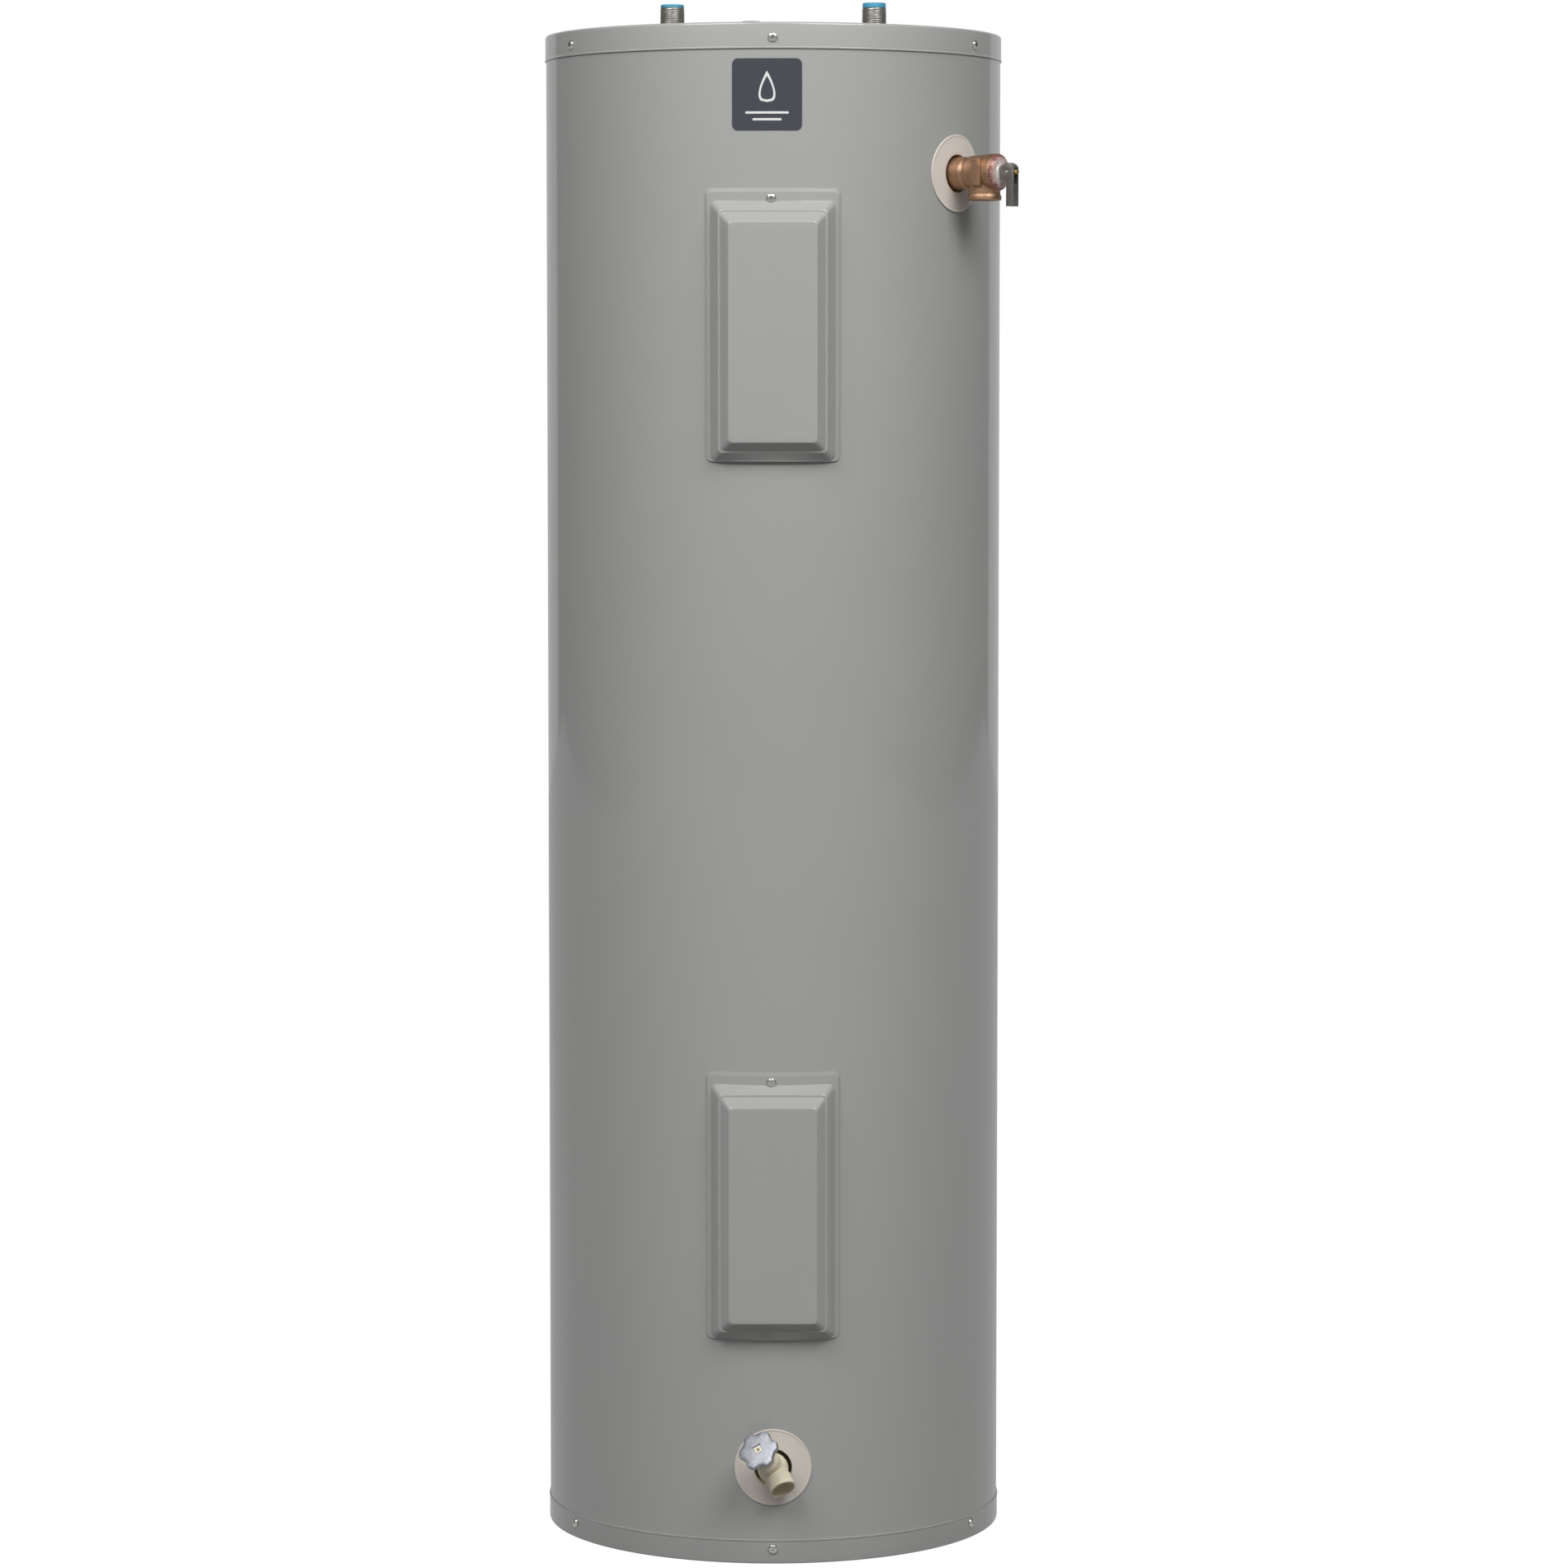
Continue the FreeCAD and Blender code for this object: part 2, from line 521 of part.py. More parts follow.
# ---------------------------------------------------------------- access panels
def press_form(label, z, shift):
    """Two stacked tapered blocks: first slope up to the ledge, second slope up to the flat face."""
    half = "box_w / 2"
    low = z + " + box_low"
    high = z + " + panel_h - box_high"
    stages = (
        (label + "_low", "jacket_r - 16", "jacket_r + ledge_out", "0", "slope_w"),
        (label + "_high", "jacket_r + ledge_out", "jacket_r + face_out", "slope_w + ledge_w",
         "slope_w + ledge_w + slope2_w"))
    parts = []
    for name, near, far, wide, narrow in stages:
        wedge = made("Part::Wedge", name)
        tall_in = "(%s) * 1.18" % wide
        tall_out = "(%s) * 1.18" % narrow
        bind(wedge, Ymin="-(%s) + %s" % (far, shift), Ymax="-(%s) + %s" % (near, shift),
             Xmin="-%s + %s" % (half, narrow), Xmax="%s - (%s)" % (half, narrow),
             Zmin="%s + %s" % (low, tall_out), Zmax="%s - %s" % (high, tall_out),
             X2min="-%s + %s" % (half, wide), X2max="%s - (%s)" % (half, wide),
             Z2min="%s + %s" % (low, tall_in), Z2max="%s - %s" % (high, tall_in))
        parts.append(wedge)
    return parts


flange_face = "jacket_r + panel_gap + panel_sheet"
for name, z in PANELS:
    flange_tube = shell_ring(name + "_flange_tube", "jacket_r + panel_gap", flange_face, z, z + " + panel_h")
    flange = common(name + "_flange", flange_tube,
                    box(name + "_flange_block", "-panel_w / 2", "panel_w / 2", "-jacket_r - 5", "-150", z,
                        z + " + panel_h"))
    outer = joined(name + "_panel_outer", [flange] + press_form(name + "_outer_form", z, "0"))
    inner = press_form(name + "_inner_form", z, "press_wall")
    wall_drum = rod(name + "_wall_drum", "jacket_r + panel_gap", "0", "0", z + " - 5", z + " + panel_h + 5")
    hole = forward_rod(name + "_panel_hole", "screw_r", "panel_screw_x", z + " + panel_h - panel_screw_drop",
                       "jacket_r - 5", "jacket_r + 5")
    keep(less(name + "_access_panel", outer, inner + [wall_drum, hole]))
    keep(box(name + "_panel_insulation", "-38", "38", "-jacket_r - face_out + press_wall",
             "-jacket_r - face_out + press_wall + pad_t", z + " + 34", z + " + panel_h - 46"))
    screw = forward(name + "_panel_screw", [
        ("jacket_r - 9", "0"), ("jacket_r - 9", "screw_r"), (flange_face, "screw_r"),
        (flange_face, "screw_head_r"), (flange_face + " + 0.7", "screw_head_r"),
        (flange_face + " + 1.9", "screw_head_r - 0.9"), (flange_face + " + screw_head", "screw_head_r - 2.6"),
        (flange_face + " + screw_head", "1.6"), (flange_face + " + 1.4", "0")])
    keep(place(screw, "panel_screw_x", "0", z + " + panel_h - panel_screw_drop"))

# Thin plate stuck to the jacket under the top pan.
badge_tube = shell_ring("badge_tube", "jacket_r", "jacket_r + badge_t", "badge_z", "badge_z + badge_h")
badge_block = box("badge_block", "badge_x - badge_w / 2", "badge_x + badge_w / 2", "-jacket_r - 5", "-150",
                  "badge_z - 1", "badge_z + badge_h + 1")
keep(common("badge", badge_tube, badge_block))

# ---------------------------------------------------------------- pipe nipples, dip tube and anode
for name, side, rim in (("hot", "-nipple_x", "hot_rim"), ("cold", "nipple_x", "cold_rim")):
    nipple = upright(name + "_nipple", [
        ("pipe_bore", "nipple_foot"), ("pipe_r", "nipple_foot"), ("pipe_r", "spud_top"),
        ("pipe_r - 0.5", "spud_top"), ("pipe_r - 0.5", "top_z + 1"), ("pipe_r", "top_z + 1"),
        ("pipe_r", "nipple_top"), ("pipe_bore", "nipple_top")])
    keep(place(nipple, side))
    liner = upright(name + "_nipple_liner", [
        ("pipe_bore - liner_wall", "nipple_foot + 12"), ("pipe_bore", "nipple_foot + 12"),
        ("pipe_bore", "nipple_top"),
        ("pipe_bore + 1.4", "nipple_top"), ("pipe_bore + 1.2", rim),
        ("pipe_bore - liner_wall", rim)])
    keep(place(liner, side))
dip = upright("dip_tube", [
    ("pipe_bore - 2.5", "dip_foot"), ("pipe_bore - 0.9", "dip_foot"), ("pipe_bore - 0.9", "nipple_foot"),
    ("pipe_bore", "nipple_foot"), ("pipe_bore", "nipple_foot + 12"), ("pipe_bore - 1.9", "nipple_foot + 12"),
    ("pipe_bore - 2.5", "nipple_foot")])
keep(place(dip, "nipple_x"))
plug_hex = made("Part::Prism", "anode_hex")
plug_hex.Polygon = 6
bind(plug_hex, Circumradius="pan_hole_r - 0.6", Height="top_z + 4 - spud_top")
place(plug_hex, "anode_x", "anode_y", "spud_top")
keep(joined("anode_plug", [plug_hex, rod("anode_thread", "pipe_r", "anode_x", "anode_y", "spud_top - 20",
                                         "spud_top + 2")]))
keep(rod("anode_rod", "anode_rod_r", "anode_x", "anode_y", "spud_top - 20 - anode_len", "spud_top - 20"))
cap = upright("anode_cap", [
    ("0", "top_z + anode_cap_h"), ("anode_cap_r - 3.8", "top_z + anode_cap_h"),
    ("anode_cap_r - 0.7", "top_z + anode_cap_h - 1.6"), ("anode_cap_r + 0.9", "top_z + anode_cap_h - 5"),
    ("anode_cap_r + 1.3", "top_z + 1.2"), ("anode_cap_r + 2.7", "top_z + 1"),
    ("anode_cap_r + 2.7", "top_z"), ("anode_cap_r", "top_z"),
    ("anode_cap_r - 0.2", "top_z + anode_cap_h - 5"), ("anode_cap_r - 4.3", "top_z + anode_cap_h - 1.5"),
    ("0", "top_z + anode_cap_h - 1.5")])
keep(place(cap, "anode_x", "anode_y"))

# ---------------------------------------------------------------- junction box in the top pan
jbox_block = box("jbox_block", "jbox_x0", "jbox_x1", "jbox_y0", "jbox_y1", "jbox_z", "top_z - sheet")
jbox_inside = box("jbox_inside", "jbox_x0 + 1", "jbox_x1 - 1", "jbox_y0 + 1", "jbox_y1 - 1", "jbox_z + 1",
                  "top_z + 2")
WIRES = (("black", "9"), ("red", "15"), ("yellow", "21"))
wire_holes = [forward_rod("jbox_%s_hole" % name, "wire_r + 0.4", x, "jbox_z + 12", "-(jbox_y0) - 3",
                          "-(jbox_y0) + 3") for name, x in WIRES]
ground_hole = rod("ground_hole", "screw_r", "34", "-138", "jbox_z - 2", "jbox_z + 2")
keep(less("junction_box", jbox_block, [jbox_inside, ground_hole] + wire_holes))
cover = box("cover_plate", "cover_x0", "cover_x1", "cover_y0", "cover_y1", "top_z", "top_z + 0.9")
cover_hole = rod("cover_plate_hole", "screw_r", "cover_x1 - 6", "(cover_y0 + cover_y1) / 2", "top_z - 1",
                 "top_z + 3")
keep(less("junction_cover", cover, [cover_hole]))


def standing_screw(label, face, drop):
    return upright(label, [("0", face + " - " + drop), ("screw_r", face + " - " + drop), ("screw_r", face),
                           ("screw_head_r", face), ("screw_head_r", face + " + 0.7"),
                           ("screw_head_r - 0.9", face + " + 1.9"),
                           ("screw_head_r - 2.6", face + " + screw_head"), ("1.6", face + " + screw_head"),
                           ("0", face + " + 1.4")])


keep(place(standing_screw("junction_cover_screw", "top_z + 0.9", "9"), "cover_x1 - 6",
           "(cover_y0 + cover_y1) / 2"))
keep(place(standing_screw("ground_screw", "jbox_z + 1", "1"), "34", "-138"))


# ---------------------------------------------------------------- wiring
def wire(label, role, radius, points, base):
    """Round insulated wire swept along a bent path that lies in one plane."""
    owner = made("PartDesign::Body", label)
    path = owner.newObject("Sketcher::SketchObject", label + "_path")
    path.AttachmentSupport = (origin_plane(owner, role), [""])
    path.MapMode = "FlatFace"
    corners = [Vector(size(x), size(y), 0) for x, y in points]
    for i in range(len(corners) - 1):
        path.addGeometry(Part.LineSegment(corners[i], corners[i + 1]))
    for i in range(len(corners) - 2):
        path.addConstraint(Sketcher.Constraint("Coincident", i, 2, i + 1, 1))
    for i, (x, y) in enumerate(points):
        line, end = (i, 1) if i < len(corners) - 1 else (i - 1, 2)
        for kind, text in (("DistanceX", x), ("DistanceY", y)):
            index = path.addConstraint(Sketcher.Constraint(kind, -1, 1, line, end, size(text)))
            path.setExpression("Constraints[%d]" % index, full(text))
    doc.recompute()
    rim = owner.newObject("Sketcher::SketchObject", label + "_rim")
    rim.AttachmentSupport = (path, ["Edge1"])
    rim.MapMode = "NormalToEdge"
    rim.MapPathParameter = 0.0
    rim.addGeometry(Part.Circle(Vector(), Vector(0, 0, 1), size(radius)))
    rim.addConstraint(Sketcher.Constraint("Coincident", 0, 3, -1, 1))
    index = rim.addConstraint(Sketcher.Constraint("Radius", 0, size(radius)))
    rim.setExpression("Constraints[%d]" % index, full(radius))
    pipe = owner.newObject("PartDesign::AdditivePipe", label + "_pipe")
    pipe.Profile = rim
    pipe.Spine = (path, ["Edge%d" % (i + 1) for i in range(len(corners) - 1)])
    pipe.Transition = "Round corner"
    return place(owner, *base)


limit_top = "upper_z + limit_up + control_h"
supply = [wire(name + "_supply", "YZ_Plane", "wire_r",
               [("jbox_y0 + 30", "jbox_z + 12"), ("-(tank_r + 12)", "jbox_z + 12"),
                ("-(tank_r + 12)", limit_top)], (x, "0", "0")) for name, x in WIRES]
keep(joined("supply_wires", supply))
side_face = "control_w / 2"
link = [wire("%s_link" % name, "XZ_Plane", "wire_r",
             [(side_face, "upper_z + control_up + " + rise), (x, "upper_z + control_up + " + rise),
              (x, "lower_z + control_up + " + rise), (side_face, "lower_z + control_up + " + rise)],
             ("0", "-(tank_r + 12)", "0")) for name, x, rise in (("black", "34", "12"), ("red", "42", "40"))]
keep(joined("link_wires", link))

# ---------------------------------------------------------------- heating elements and controls
gaskets = []
terminals = []
for name, z in PANELS:
    axis_z = z + " + element_up"
    head = made("Part::Prism", name + "_element_hex")
    head.Polygon = 6
    head.Placement = Placement(Vector(), Rotation(Vector(1, 0, 0), 90))
    bind(head, Circumradius="element_thread_r + 5.3", Height="8")
    place(head, "0", "-(tank_r + 11)", axis_z)
    legs = []
    for side in ("-", ""):
        leg = made("Part::Cylinder", name + "_leg" + ("_left" if side else "_right"))
        leg.Placement = Placement(Vector(), Rotation(Vector(1, 0, 0), -90))
        bind(leg, Radius="4", Height="element_len")
        legs.append(place(leg, side + "element_loop", "-(tank_r - 4)", axis_z))
    bend = made("Part::Torus", name + "_bend")
    bend.Placement = Placement(Vector(), Rotation(Vector(0, 0, 1), 0))
    bend.Angle3 = 180
    bind(bend, Radius1="element_loop", Radius2="4")
    legs.append(place(bend, "0", "-(tank_r - 4) + element_len", axis_z))
    parts = [head, forward_rod(name + "_element_thread", "element_thread_r", "0", axis_z, "tank_r - 6",
                               "tank_r + 12"),
             forward_rod(name + "_element_block", "12.5", "0", axis_z, "tank_r + 18", "tank_r + 25")]
    keep(joined(name + "_element", parts + legs))
    ring = forward_rod(name + "_gasket_disc", "element_thread_r + 4.5", "0", axis_z,
                       "tank_r + 9", "tank_r + 11")
    ring_hole = forward_rod(name + "_gasket_hole", "element_thread_r", "0", axis_z,
                            "tank_r + 8", "tank_r + 12")
    gaskets.append(less(name + "_gasket", ring, [ring_hole]))
    for which, side in (("b", "-6"), ("a", "6")):
        terminals.append(forward_rod("%s_element_terminal_%s" % (name, which), "3.4", side, axis_z,
                                     "tank_r + 25", "tank_r + 28"))
    # thermostat held to the tank by a spring clip
    back = "tank_r + 0.3 + clip_t"
    front = back + " + control_t"
    low = z + " + control_up"
    block = box(name + "_control_block", "-control_w / 2", "control_w / 2", "-(%s)" % front, "-(%s)" % back,
                low, low + " + control_h")
    dial_z = low + " + 38"
    socket = forward_rod(name + "_dial_socket", "dial_pin_r + pin_play", "-9", dial_z, front + " - 8",
                         front + " + 3")
    keep(less(name + "_thermostat", block, [socket]))
    dial = forward(name + "_dial", [
        (front + " - 6", "0"), (front + " - 6", "dial_pin_r"), (front + " + 0.3", "dial_pin_r"),
        (front + " + 0.3", "dial_r"), (front + " + 2.4", "dial_r"), (front + " + 3", "dial_r - 0.7"),
        (front + " + 3", "0")])
    slot = extruded(dial, name + "_dial_slot",
                    outline(dial, name + "_dial_slot_line", "YZ_Plane",
                            [("-(%s + 3.5)" % front, "-0.9"), ("-(%s + 1.6)" % front, "-0.9"),
                             ("-(%s + 1.6)" % front, "0.9"), ("-(%s + 3.5)" % front, "0.9")]),
                    "12", "PartDesign::Pocket", middle=True)
    dial.Tip = slot
    keep(place(dial, "-9", "0", dial_z))
    clip_plate = box(name + "_clip_plate", "-control_w / 2 - 1.6", "control_w / 2 + 1.6", "-(%s)" % back,
                     "-(tank_r + 0.3)", low + " + 18", low + " + 34")
    ears = [box(name + "_clip_left", "-control_w / 2 - 1.6", "-control_w / 2", "-(%s) + 6" % front,
                "-(tank_r + 0.3)", low + " + 20", low + " + 30"),
            box(name + "_clip_right", "control_w / 2", "control_w / 2 + 1.6", "-(%s) + 6" % front,
                "-(tank_r + 0.3)", low + " + 20", low + " + 30")]
    keep(joined(name + "_clip", [clip_plate] + ears))
    for i, (across, up) in enumerate((("-14", "10"), ("12", "10"), ("12", "48"))):
        terminals.append(forward_rod("%s_control_terminal_%d" % (name, i), "3.4", across,
                                     low + " + " + up, front, front + " + 2.4"))
keep(joined("element_gaskets", gaskets))

limit_low = "upper_z + limit_up"
limit_front = "tank_r + 1.5 + control_t"
limit_block = box("limit_block", "-control_w / 2", "control_w / 2", "-(%s)" % limit_front, "-(tank_r + 1.5)",
                  limit_low, limit_low + " + control_h")
button_z = limit_low + " + 20"
button_hole = forward_rod("button_hole", "button_r + pin_play", "0", button_z, limit_front + " - 9",
                          limit_front + " + 3")
keep(less("high_limit_control", limit_block, [button_hole]))
button = forward("reset_button", [
    (limit_front + " - 7", "0"), (limit_front + " - 7", "button_r"), (limit_front + " + 2.2", "button_r"),
    (limit_front + " + 3", "button_r - 0.8"), (limit_front + " + 3", "0")])
keep(place(button, "0", "0", button_z))
for i, (across, up) in enumerate((("-14", "48"), ("14", "48"), ("-14", "8"), ("14", "8"))):
    terminals.append(forward_rod("limit_terminal_%d" % i, "3.4", across, limit_low + " + " + up, limit_front,
                                 limit_front + " + 2.4"))
keep(joined("terminal_screws", terminals))


# ---------------------------------------------------------------- round plastic escutcheons
def rosette(label, z, turn):
    """Plastic disc curved to sit on the jacket, with a round hole for the valve."""
    tube = shell_ring(label + "_tube", "jacket_r", "jacket_r + rosette_t", "-60", "60")
    disc = forward_rod(label + "_disc", "rosette_r", "0", "0", "150", "jacket_r + 10")
    whole = common(label + "_whole", tube, disc)
    hole = forward_rod(label + "_hole", "rosette_hole", "0", "0", "150", "jacket_r + 10")
    return place(less(label, whole, [hole]), "0", "0", z, turn)


keep(rosette("relief_escutcheon", "relief_z", "relief_turn"))
keep(rosette("drain_escutcheon", "drain_z", "0"))

# ---------------------------------------------------------------- relief valve
# It is built facing the front, then turned about the heater's axis to its place.
seat = "outlet_at - 7.5"
relief_solids = [
    forward_rod("relief_shank", "pipe_r", "0", "0", "tank_r - 5", side_out),
    forward_rod("relief_neck", "pipe_r + 2.6", "0", "0", side_out, "outlet_at - 16"),
    forward_rod("relief_barrel", "18.5", "0", "0", "outlet_at - 17.5", "relief_body_end"),
    rod("relief_outlet", "relief_bore + 3.2", "0", "-outlet_at", "-outlet_drop", "0"),
    rod("relief_bead", "relief_bore + 4.1", "0", "-outlet_at", "-outlet_drop", "4.5 - outlet_drop")]
relief_rooms = [
    forward_rod("relief_inlet", "8", "0", "0", "tank_r - 10", "outlet_at - 6"),
    forward_rod("relief_chamber", "chamber_r", "0", "0", seat, "relief_body_end + 1"),
    rod("relief_outlet_bore", "relief_bore", "0", "-outlet_at", "-outlet_drop - 3",
        "outlet_socket - outlet_drop"),
    rod("relief_outlet_port", "outlet_port_r", "0", "-outlet_at", "outlet_socket - outlet_drop - 1", "0")]
relief_body = less("relief_body", joined("relief_solid", relief_solids), relief_rooms)
keep(place(relief_body, "0", "0", "relief_z", "relief_turn"))


def relief_part(thing):
    return keep(place(thing, "0", "0", "relief_z", "relief_turn"))


relief_part(forward("relief_cap", [
    ("relief_body_end", "lift_stem_r + 0.1"), ("relief_body_end", "18"), ("relief_cap_end - 1", "18"),
    ("relief_cap_end", "17"), ("relief_cap_end", "lift_stem_r + 0.1")]))
relief_part(forward("relief_disc", [
    (seat, "0"), (seat, "11.5"), (seat + " + 3", "11.5"), (seat + " + 3", "0")]))
relief_part(forward("relief_probe", [("90", "0"), ("90", "4"), (seat, "4"), (seat, "0")]))

stem_rod = forward_rod("lift_rod", "lift_stem_r", "0", "0", seat + " + 3", "lever_at + 10")
cross_hole = made("Part::Cylinder", "lift_cross_hole")
cross_hole.Placement = Placement(Vector(), Rotation(Vector(0, 1, 0), 90))
bind(cross_hole, Radius="lever_pin_r + pin_play", Height="20")
place(cross_hole, "-10", "-lever_at")
relief_part(less("relief_stem", stem_rod, [cross_hole]))

coil_path = made("Part::Helix", "coil_path")
coil_path.SegmentLength = 1
bind(coil_path, Pitch="4.4", Height="relief_body_end - (%s) - 3 - 2.6" % seat, Radius="7.6")
coil_rim = made("Part::Circle", "coil_rim")
bind(coil_rim, Radius="1.1")
coil_rim.Placement = Placement(Vector(7.6, 0, 0), Rotation(Vector(1, 0, 0), 90))
coil = made("Part::Sweep", "relief_spring")
coil.Sections = [coil_rim]
coil.Spine = (coil_path, [])
coil.Solid = True
coil.Frenet = True
coil_turn = Rotation(Vector(0, 0, 1), size("relief_turn")) * Rotation(Vector(1, 0, 0), 90)
coil_base = Rotation(Vector(0, 0, 1), size("relief_turn")).multVec(Vector(0, -size(seat + " + 4.3"), 0))
coil.Placement = Placement(coil_base + Vector(0, 0, size("relief_z")), coil_turn)
coil.setExpression("Placement.Base.z", full("relief_z"))
keep(coil)


def cross_rod(label, radius, out, z, half):
    """Cylinder lying across the valve, along X."""
    post = made("Part::Cylinder", label)
    post.Placement = Placement(Vector(), Rotation(Vector(0, 1, 0), 90))
    bind(post, Radius=radius, Height="2 * (%s)" % half)
    return place(post, "-(%s)" % half, "-(%s)" % out, z)


# Lever: a folded strip, two cheeks and a web, hanging from a pin through the stem.
lever_head = common("lever_head", cross_rod("lever_round", "9", "lever_at", "0", "lever_w / 2"),
                    box("lever_head_block", "-lever_w / 2", "lever_w / 2", "-(lever_at + 8)",
                        "-(lever_at - 8.3)", "-9", "9"))
lever_arm = box("lever_arm", "-lever_w / 2", "lever_w / 2", "-(lever_at + 8)", "-(lever_at - 0.6)",
                "-lever_len", "0")
lever_cuts = [
    box("lever_channel", "-lever_slot / 2", "lever_slot / 2", "-(lever_at + 6.6)", "-(lever_at - 12)",
        "-lever_len - 2", "12"),
    box("lever_window", "-lever_slot / 2", "lever_slot / 2", "-(lever_at + 12)", "-(lever_at + 5)",
        "-12", "3.4"),
    cross_rod("lever_pin_hole", "lever_pin_r", "lever_at", "0", "10")]
relief_part(less("relief_lever", joined("lever_blank", [lever_head, lever_arm]), lever_cuts))
relief_part(joined("relief_lever_pin", [cross_rod("pin_shaft", "lever_pin_r", "lever_at", "0",
                                                  "lever_w / 2 + 0.5"),
                                        cross_rod("pin_core", "lever_pin_r / 2", "lever_at", "0",
                                                  "lever_w / 2 + 0.8")]))

# ---------------------------------------------------------------- drain valve
# It is built with its axes meeting at 0, then turned and moved to its place.
meet = Vector(0, -size("jacket_r + drain_out"), size("drain_z"))
clock = Rotation(Vector(0, 1, 0), -size("drain_clock"))
along_stem = Rotation(Vector(1, 0, 0), 50)
along_hose = Rotation(Vector(1, 0, 0), 140)
along_shank = Rotation(Vector(1, 0, 0), -90)


def branch(label, radius, way, start, end, cone=None):
    """Cylinder or cone along one of the valve's three axes."""
    post = made("Part::Cone" if cone else "Part::Cylinder", label)
    post.Placement = Placement(way.multVec(Vector(0, 0, size(start))), way)
    if cone:
        bind(post, Radius1=radius, Radius2=cone, Height="(%s) - (%s)" % (end, start))
    else:
        bind(post, Radius=radius, Height="(%s) - (%s)" % (end, start))
    return post


def drain_part(thing, way=None):
    turn = clock if way is None else clock * way
    thing.Placement = Placement(meet, turn)
    thing.setExpression("Placement.Base.y", full("-(jacket_r + drain_out)"))
    thing.setExpression("Placement.Base.z", full("drain_z"))
    return keep(thing)


ball = made("Part::Sphere", "drain_ball_blank")
bind(ball, Radius="drain_ball")
shank_end = "jacket_r + drain_out - tank_r + 6"
shank_step = "jacket_r + drain_out - tank_r - side_spud_out"
drain_solid = joined("drain_solid", [
    ball, branch("drain_collar", "14", along_shank, "0", shank_step),
    branch("drain_shank", "pipe_r", along_shank, "2", shank_end),
    branch("drain_bonnet", "bonnet_r", along_stem, "0", "bonnet_len"),
    branch("drain_outlet", "hose_neck_r", along_hose, "0", "hose_len - hose_thread"),
    branch("drain_hose_thread", "hose_r", along_hose, "hose_len - hose_thread", "hose_len")])
drain_rooms = [
    branch("drain_inlet_room", "6", along_shank, "13", shank_end + " + 5"),
    branch("drain_chamber", "8", along_stem, "-7", "14"),
    branch("drain_seat_hole", "5", along_stem, "-13.6", "-6"),
    branch("drain_stem_hole", "drain_stem_r + pin_play", along_stem, "10", "bonnet_len + 5"),
    branch("drain_outlet_room", "hose_bore", along_hose, "6", "hose_len + 5"),
    branch("drain_outlet_neck", "6", along_hose, "0", "10")]
drain_part(less("drain_body", drain_solid, drain_rooms))
drain_part(upright("drain_washer", [("0", "-7"), ("7", "-7"), ("7", "-4"), ("0", "-4")]), along_stem)
stem_round = upright("stem_round", [("0", "-4"), ("drain_stem_r", "-4"), ("drain_stem_r", "knob_at - 4"),
                                    ("0", "knob_at - 4")])
stem_square = box("stem_square", "-3.2", "3.2", "-3.2", "3.2", "knob_at - 5", "knob_at + knob_t - 0.8")
stem_hollow = rod("stem_hollow", "1.6", "0", "0", "knob_at + 1", "knob_at + knob_t + 2")
drain_part(less("drain_stem", joined("stem_blank", [stem_round, stem_square]), [stem_hollow]), along_stem)

knob_blank = made("PartDesign::Body", "knob_blank")
core = extruded(knob_blank, "knob_core_pad", circle(knob_blank, "knob_core_line", "XY_Plane", "knob_core"),
                "knob_t")
lobe_line = circle(knob_blank, "knob_lobe_line", "XY_Plane", "lobe_r", "lobe_at")
lobe = extruded(knob_blank, "knob_lobe", lobe_line, "knob_t")
doc.recompute()
lobes = knob_blank.newObject("PartDesign::PolarPattern", "knob_lobes")
lobes.Originals = [lobe]
lobes.Axis = (origin_plane(knob_blank, "Z_Axis"), [""])
lobes.Angle = 360
lobes.Occurrences = 6
knob_blank.Tip = lobes
place(knob_blank, "0", "0", "knob_at")
knob_hub = rod("knob_hub", "7.5", "0", "0", "knob_at - 5", "knob_at + 1")
knob_cuts = [box("knob_socket", "-3.2", "3.2", "-3.2", "3.2", "knob_at - 5", "knob_at + knob_t + 1"),
             rod("knob_hub_hole", "drain_stem_r", "0", "0", "knob_at - 6", "knob_at - 4"),
             box("knob_recess", "-5.2", "5.2", "-5.2", "5.2", "knob_at + knob_t - 2.2",
                 "knob_at + knob_t + 1")]
drain_part(less("drain_knob", joined("knob_solid", [knob_blank, knob_hub]), knob_cuts), along_stem)

# ---------------------------------------------------------------- check and write
doc.recompute()
faults = []
for thing in doc.Objects:
    if {"Invalid", "Error"} & set(thing.State):
        faults.append("%s is %s" % (thing.Label, thing.State))
for thing in nodes:
    shape = thing.Shape
    if shape.isNull() or not shape.isValid() or not shape.Solids:
        faults.append("%s has no valid solid" % thing.Label)
if len({thing.Label for thing in nodes}) != len(nodes):
    faults.append("two nodes share a name")
if faults:
    raise SystemExit("\n".join(faults))
os.makedirs("parts", exist_ok=True)
for thing in nodes:
    thing.Shape.exportStep("parts/%s.step" % thing.Label)
print("%d parts written" % len(nodes))
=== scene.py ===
import json
import math

import bmesh
import bpy
from mathutils import Matrix, Vector


